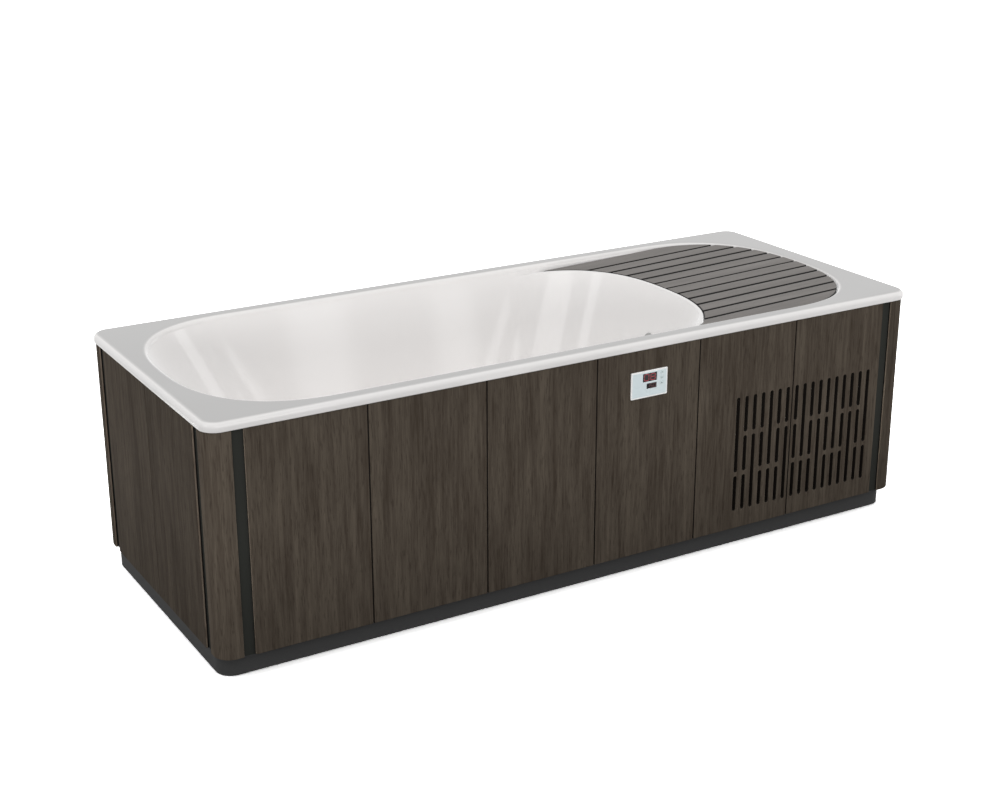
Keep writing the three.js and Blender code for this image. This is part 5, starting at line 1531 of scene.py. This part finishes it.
def make_inlet_fitting():
    """The water inlet in the foot wall: a flanged nozzle with its nut behind the wall."""
    slope = FOOT_LEAN / (WEIR_TOP - BASIN_FLOOR)
    axis = Vector((-1, 0, slope)).normalized()
    wall = SHELL_WALL * (1 + slope) * -axis.x
    nut = -wall - FIT_GAP
    fitting = turned("inlet_nozzle", eased([
        (INLET_BORE_RADIUS, -wall - INLET_TAIL),
        (INLET_SHANK_RADIUS, -wall - INLET_TAIL),
        (INLET_SHANK_RADIUS, nut - INLET_NUT),
        (INLET_NUT_RADIUS, nut - INLET_NUT),
        (INLET_NUT_RADIUS, nut),
        (INLET_SHANK_RADIUS, nut),
        (INLET_SHANK_RADIUS, FIT_GAP),
        (INLET_RADIUS, FIT_GAP),
        (INLET_RADIUS - INLET_FLANGE / 2, FIT_GAP + INLET_FLANGE),
        (INLET_BORE_RADIUS + INLET_CHAMFER, FIT_GAP + INLET_FLANGE),
        (INLET_BORE_RADIUS, FIT_GAP + INLET_FLANGE - INLET_CHAMFER),
    ], FITTING_EDGE))
    foot = Vector((end_x(BASIN, 0) - slope * INLET_DROP, 0, WEIR_TOP - INLET_DROP))
    place(fitting, Matrix.Translation(foot) @ axis.to_track_quat("Z", "Y").to_matrix().to_4x4())
    smooth(fitting, 35)
    dress(fitting, "tub", "white_plastic", NOZZLE, "inlet_fitting")


def make_filter():
    """The filter's housing in the tray floor and its quarter-turn cap with a grip bar."""
    inner = FILTER_RADIUS - FILTER_WALL
    flange = FIT_GAP + FILTER_FLANGE
    housing = turned("filter_housing_body", eased([
        (FILTER_OUTLET_RADIUS, -FILTER_DEPTH),
        (FILTER_RADIUS, -FILTER_DEPTH),
        (FILTER_RADIUS, FIT_GAP),
        (FILTER_FLANGE_RADIUS, FIT_GAP),
        (FILTER_FLANGE_RADIUS, flange),
        (inner, flange),
        (inner, -FILTER_DEPTH + FILTER_WALL),
        (FILTER_OUTLET_RADIUS, -FILTER_DEPTH + FILTER_WALL),
    ], FITTING_EDGE))
    start = -FILTER_RADIUS + FILTER_WALL / 2
    end = -FILTER_RADIUS - FILTER_STUB_LENGTH
    ring = circle(0, -FILTER_STUB_DROP, FILTER_STUB_RADIUS, 32)
    combine(housing, loft("stub", [[Vector((x, y, z)) for y, z in ring] for x in (end, start)]), "UNION")
    place(housing, FILTER_FRAME)
    smooth(housing, 35)
    dress(housing, "tub", "white_plastic", WHITE_PLASTIC, "filter_housing")

    seat = flange + FIT_GAP
    plug = inner - CAP_PLUG_GAP
    top = seat + CAP_THICKNESS
    cap = turned("filter_lid_cap", eased([
        (0, seat - CAP_PLUG),
        (plug, seat - CAP_PLUG),
        (plug, seat),
        (FILTER_RADIUS, seat),
        (FILTER_RADIUS, top),
        (FILTER_RADIUS * 0.84, top),
        (FILTER_RADIUS * 0.80, top - CAP_DISH),
        (0, top - CAP_DISH),
    ], FITTING_EDGE))
    outline = circle(FILTER_RADIUS + CAP_NOTCH_RADIUS / 2, 0, CAP_NOTCH_RADIUS, 12)
    notch = standing("notch", outline, seat - CUT_OVERLAP, top + CUT_OVERLAP)
    cut(cap, ring_of(notch, CAP_NOTCHES, "notches"))
    grip = FILTER_RADIUS - CAP_BAR_WIDTH
    half = CAP_BAR_WIDTH / 2
    grip_bar = block("grip", (-grip, -half, top - CAP_BAR_SINK), (grip, half, top + CAP_BAR_HEIGHT))
    bevel(grip_bar, lambda edge: edge_middle(edge).z > top - CAP_BAR_EDGE, CAP_BAR_EDGE, EDGE_STEPS)
    combine(cap, grip_bar, "UNION")
    place(cap, FILTER_FRAME)
    smooth(cap, 35)
    dress(cap, "filter_lid", "grey_plastic", GREY_PLASTIC, "filter_cap")


def make_drain_valve():
    """The drain's ball valve, with an open spigot flush with the rear board."""
    low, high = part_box("drain_valve")
    x, z = drain_middle()
    length = high.y - low.y
    valve = turned("drain_valve_body", eased([
        (0, 0),
        (DRAIN_VALVE_RADIUS, 0),
        (DRAIN_VALVE_RADIUS, DRAIN_VALVE_LENGTH),
        (DRAIN_SPIGOT_RADIUS, DRAIN_VALVE_LENGTH),
        (DRAIN_SPIGOT_RADIUS, length),
        (DRAIN_BORE_RADIUS, length),
        (DRAIN_BORE_RADIUS, length - DRAIN_BORE_DEPTH),
        (0, length - DRAIN_BORE_DEPTH),
    ], DRAIN_EDGE))
    place(valve, Matrix.Translation((x, low.y, z)) @ Matrix.Rotation(-math.pi / 2, 4, "X"))
    stem_middle = low.y + DRAIN_VALVE_LENGTH / 2
    stem = standing("stem", circle(x, stem_middle, DRAIN_STEM_RADIUS, 24), z, high.z)
    combine(valve, stem, "UNION")
    smooth(valve, 35)
    dress(valve, "tub", "grey_plastic", GREY_PLASTIC, "drain_valve")


make_suction_fitting()
make_inlet_fitting()
make_filter()
make_drain_valve()
paint(PIPE_PLASTIC, "suction_pipe", "filter_pipe", "return_pipe")
paint(GREY_PLASTIC, "heat_exchanger")
paint(BLACK_PLASTIC, "circulation_pump", "drain_lever", "fan_shroud", "fan_rotor")
paint(COMPRESSOR_PAINT, "compressor")
paint(FIN_PAINTED_SHADE, "condenser_coil")
paint(COPPER, "discharge_line", "suction_line")
paint(PAPER, "filter_cartridge")
paint(FOAM, "basin_pedestal")


# Studio

def make_camera():
    data = bpy.data.cameras.new("camera")
    data.sensor_fit = "HORIZONTAL"
    data.sensor_width = CAMERA_SENSOR
    data.lens = CAMERA_LENS
    data.clip_end = CAMERA_REACH
    camera = bpy.data.objects.new("camera", data)
    turn = Matrix.Rotation(-CAMERA_YAW, 4, "Z") @ Matrix.Rotation(math.pi / 2 - CAMERA_PITCH, 4, "X")
    camera.matrix_world = Matrix.Translation(CAMERA_PLACE) @ turn @ Matrix.Rotation(CAMERA_ROLL, 4, "Z")
    bpy.context.scene.collection.objects.link(camera)
    bpy.context.scene.camera = camera


def eye_rays(wiring):
    """Masks of the rays that show the backdrop: those from the camera, and those from gloss or glass."""
    rays = wiring.node("LightPath")
    mirrored = wiring.math("MAXIMUM", rays.outputs["Is Glossy Ray"], rays.outputs["Is Transmission Ray"])
    return rays.outputs["Is Camera Ray"], mirrored


def make_world():
    world = bpy.data.worlds.new("studio")
    world.use_nodes = True
    bpy.context.scene.world = world
    wiring = Wiring(world.node_tree)
    background = world.node_tree.nodes["Background"]
    background.inputs["Color"].default_value = (1, 1, 1, 1)
    seen = wiring.math("MAXIMUM", *eye_rays(wiring))
    wiring.link(wiring.spread(seen, AMBIENT, 1.0), background.inputs["Strength"])


def make_floor():
    deselect_all()
    bpy.ops.mesh.primitive_plane_add(size=FLOOR_SIZE, location=(0, 0, -FLOOR_DROP))
    floor = named("floor")
    material, wiring, shader = new_material("floor_paint")
    shader.inputs["Roughness"].default_value = 1.0
    shader.inputs["Specular IOR Level"].default_value = 0.0
    from_camera, mirrored = eye_rays(wiring)
    unseen = wiring.mix(mirrored, (*[FLOOR_BOUNCE] * 3, 1), (*[FLOOR_GLOSS] * 3, 1))
    wiring.link(wiring.mix(from_camera, unseen, (*[FLOOR_WHITE] * 3, 1)), shader.inputs["Base Color"])
    floor.data.materials.append(material)


def hide_from(thing, *rays):
    for ray in rays:
        setattr(thing, f"visible_{ray}", False)


def make_flags():
    """Four low screens round the object, which only shade the foot of its sides from the lamps."""
    low = (-FLAG_REACH[0], -FLAG_REACH[1], FLAG_LOW)
    flags = block("flags", low, (*FLAG_REACH, FLAG_HIGH))
    pick_faces(flags, lambda face: abs(face.normal.z) > ALONG_AXIS)
    bpy.ops.mesh.delete(type="ONLY_FACE")
    bpy.ops.object.mode_set(mode="OBJECT")
    hide_from(flags, "camera", "diffuse", "glossy", "transmission")
    flags.data.materials.append(BLACK_PLASTIC)


def hide_from_gloss():
    """Keeps the pieces out of each other's mirror images, so that the gloss shows the studio alone."""
    for piece in bpy.context.scene.objects:
        if piece.type == "MESH":
            hide_from(piece, "glossy")


def make_reflectors():
    """Upright panels that only the gloss shows: soft light bands on the walls of the basin."""
    material, _, shader = new_material("reflector_glow")
    shader.inputs["Base Color"].default_value = (0, 0, 0, 1)
    shader.inputs["Emission Color"].default_value = (1, 1, 1, 1)
    shader.inputs["Emission Strength"].default_value = REFLECTOR_GLOW
    for number, (low, high) in enumerate(REFLECTORS, start=1):
        panel = block(f"reflector_{number}", low, high)
        hide_from(panel, "camera", "diffuse", "transmission", "shadow")
        panel.data.materials.append(material)


def add_lamp(name, data, position, towards):
    lamp = bpy.data.objects.new(name, data)
    lamp.location = position
    lamp.rotation_euler = (Vector(position) - Vector(towards)).to_track_quat("Z", "Y").to_euler()
    bpy.context.scene.collection.objects.link(lamp)
    return lamp


def add_strip(name, position, length, brightness):
    """A long soft lamp along one side, which shows neither to the eye nor in the gloss."""
    data = bpy.data.lights.new(name, "AREA")
    data.shape = "RECTANGLE"
    data.size = length
    data.size_y = STRIP_HEIGHT
    data.energy = brightness * math.pi * length * STRIP_HEIGHT
    hide_from(add_lamp(name, data, position, (0, 0, STRIP_AIM)), "camera", "glossy")


def add_sun(name, direction, strength, width):
    """Light from one direction, softened by its width in degrees."""
    data = bpy.data.lights.new(name, "SUN")
    data.energy = strength * math.pi
    data.angle = math.radians(width)
    hide_from(add_lamp(name, data, direction, (0, 0, 0)), "glossy")


hide_from_gloss()
make_camera()
make_world()
make_floor()
make_flags()
make_reflectors()
add_sun("key_light", **KEY_LIGHT)
for strip_name, strip in STRIPS.items():
    add_strip(strip_name, **strip)
bpy.context.scene.view_settings.view_transform = "Standard"
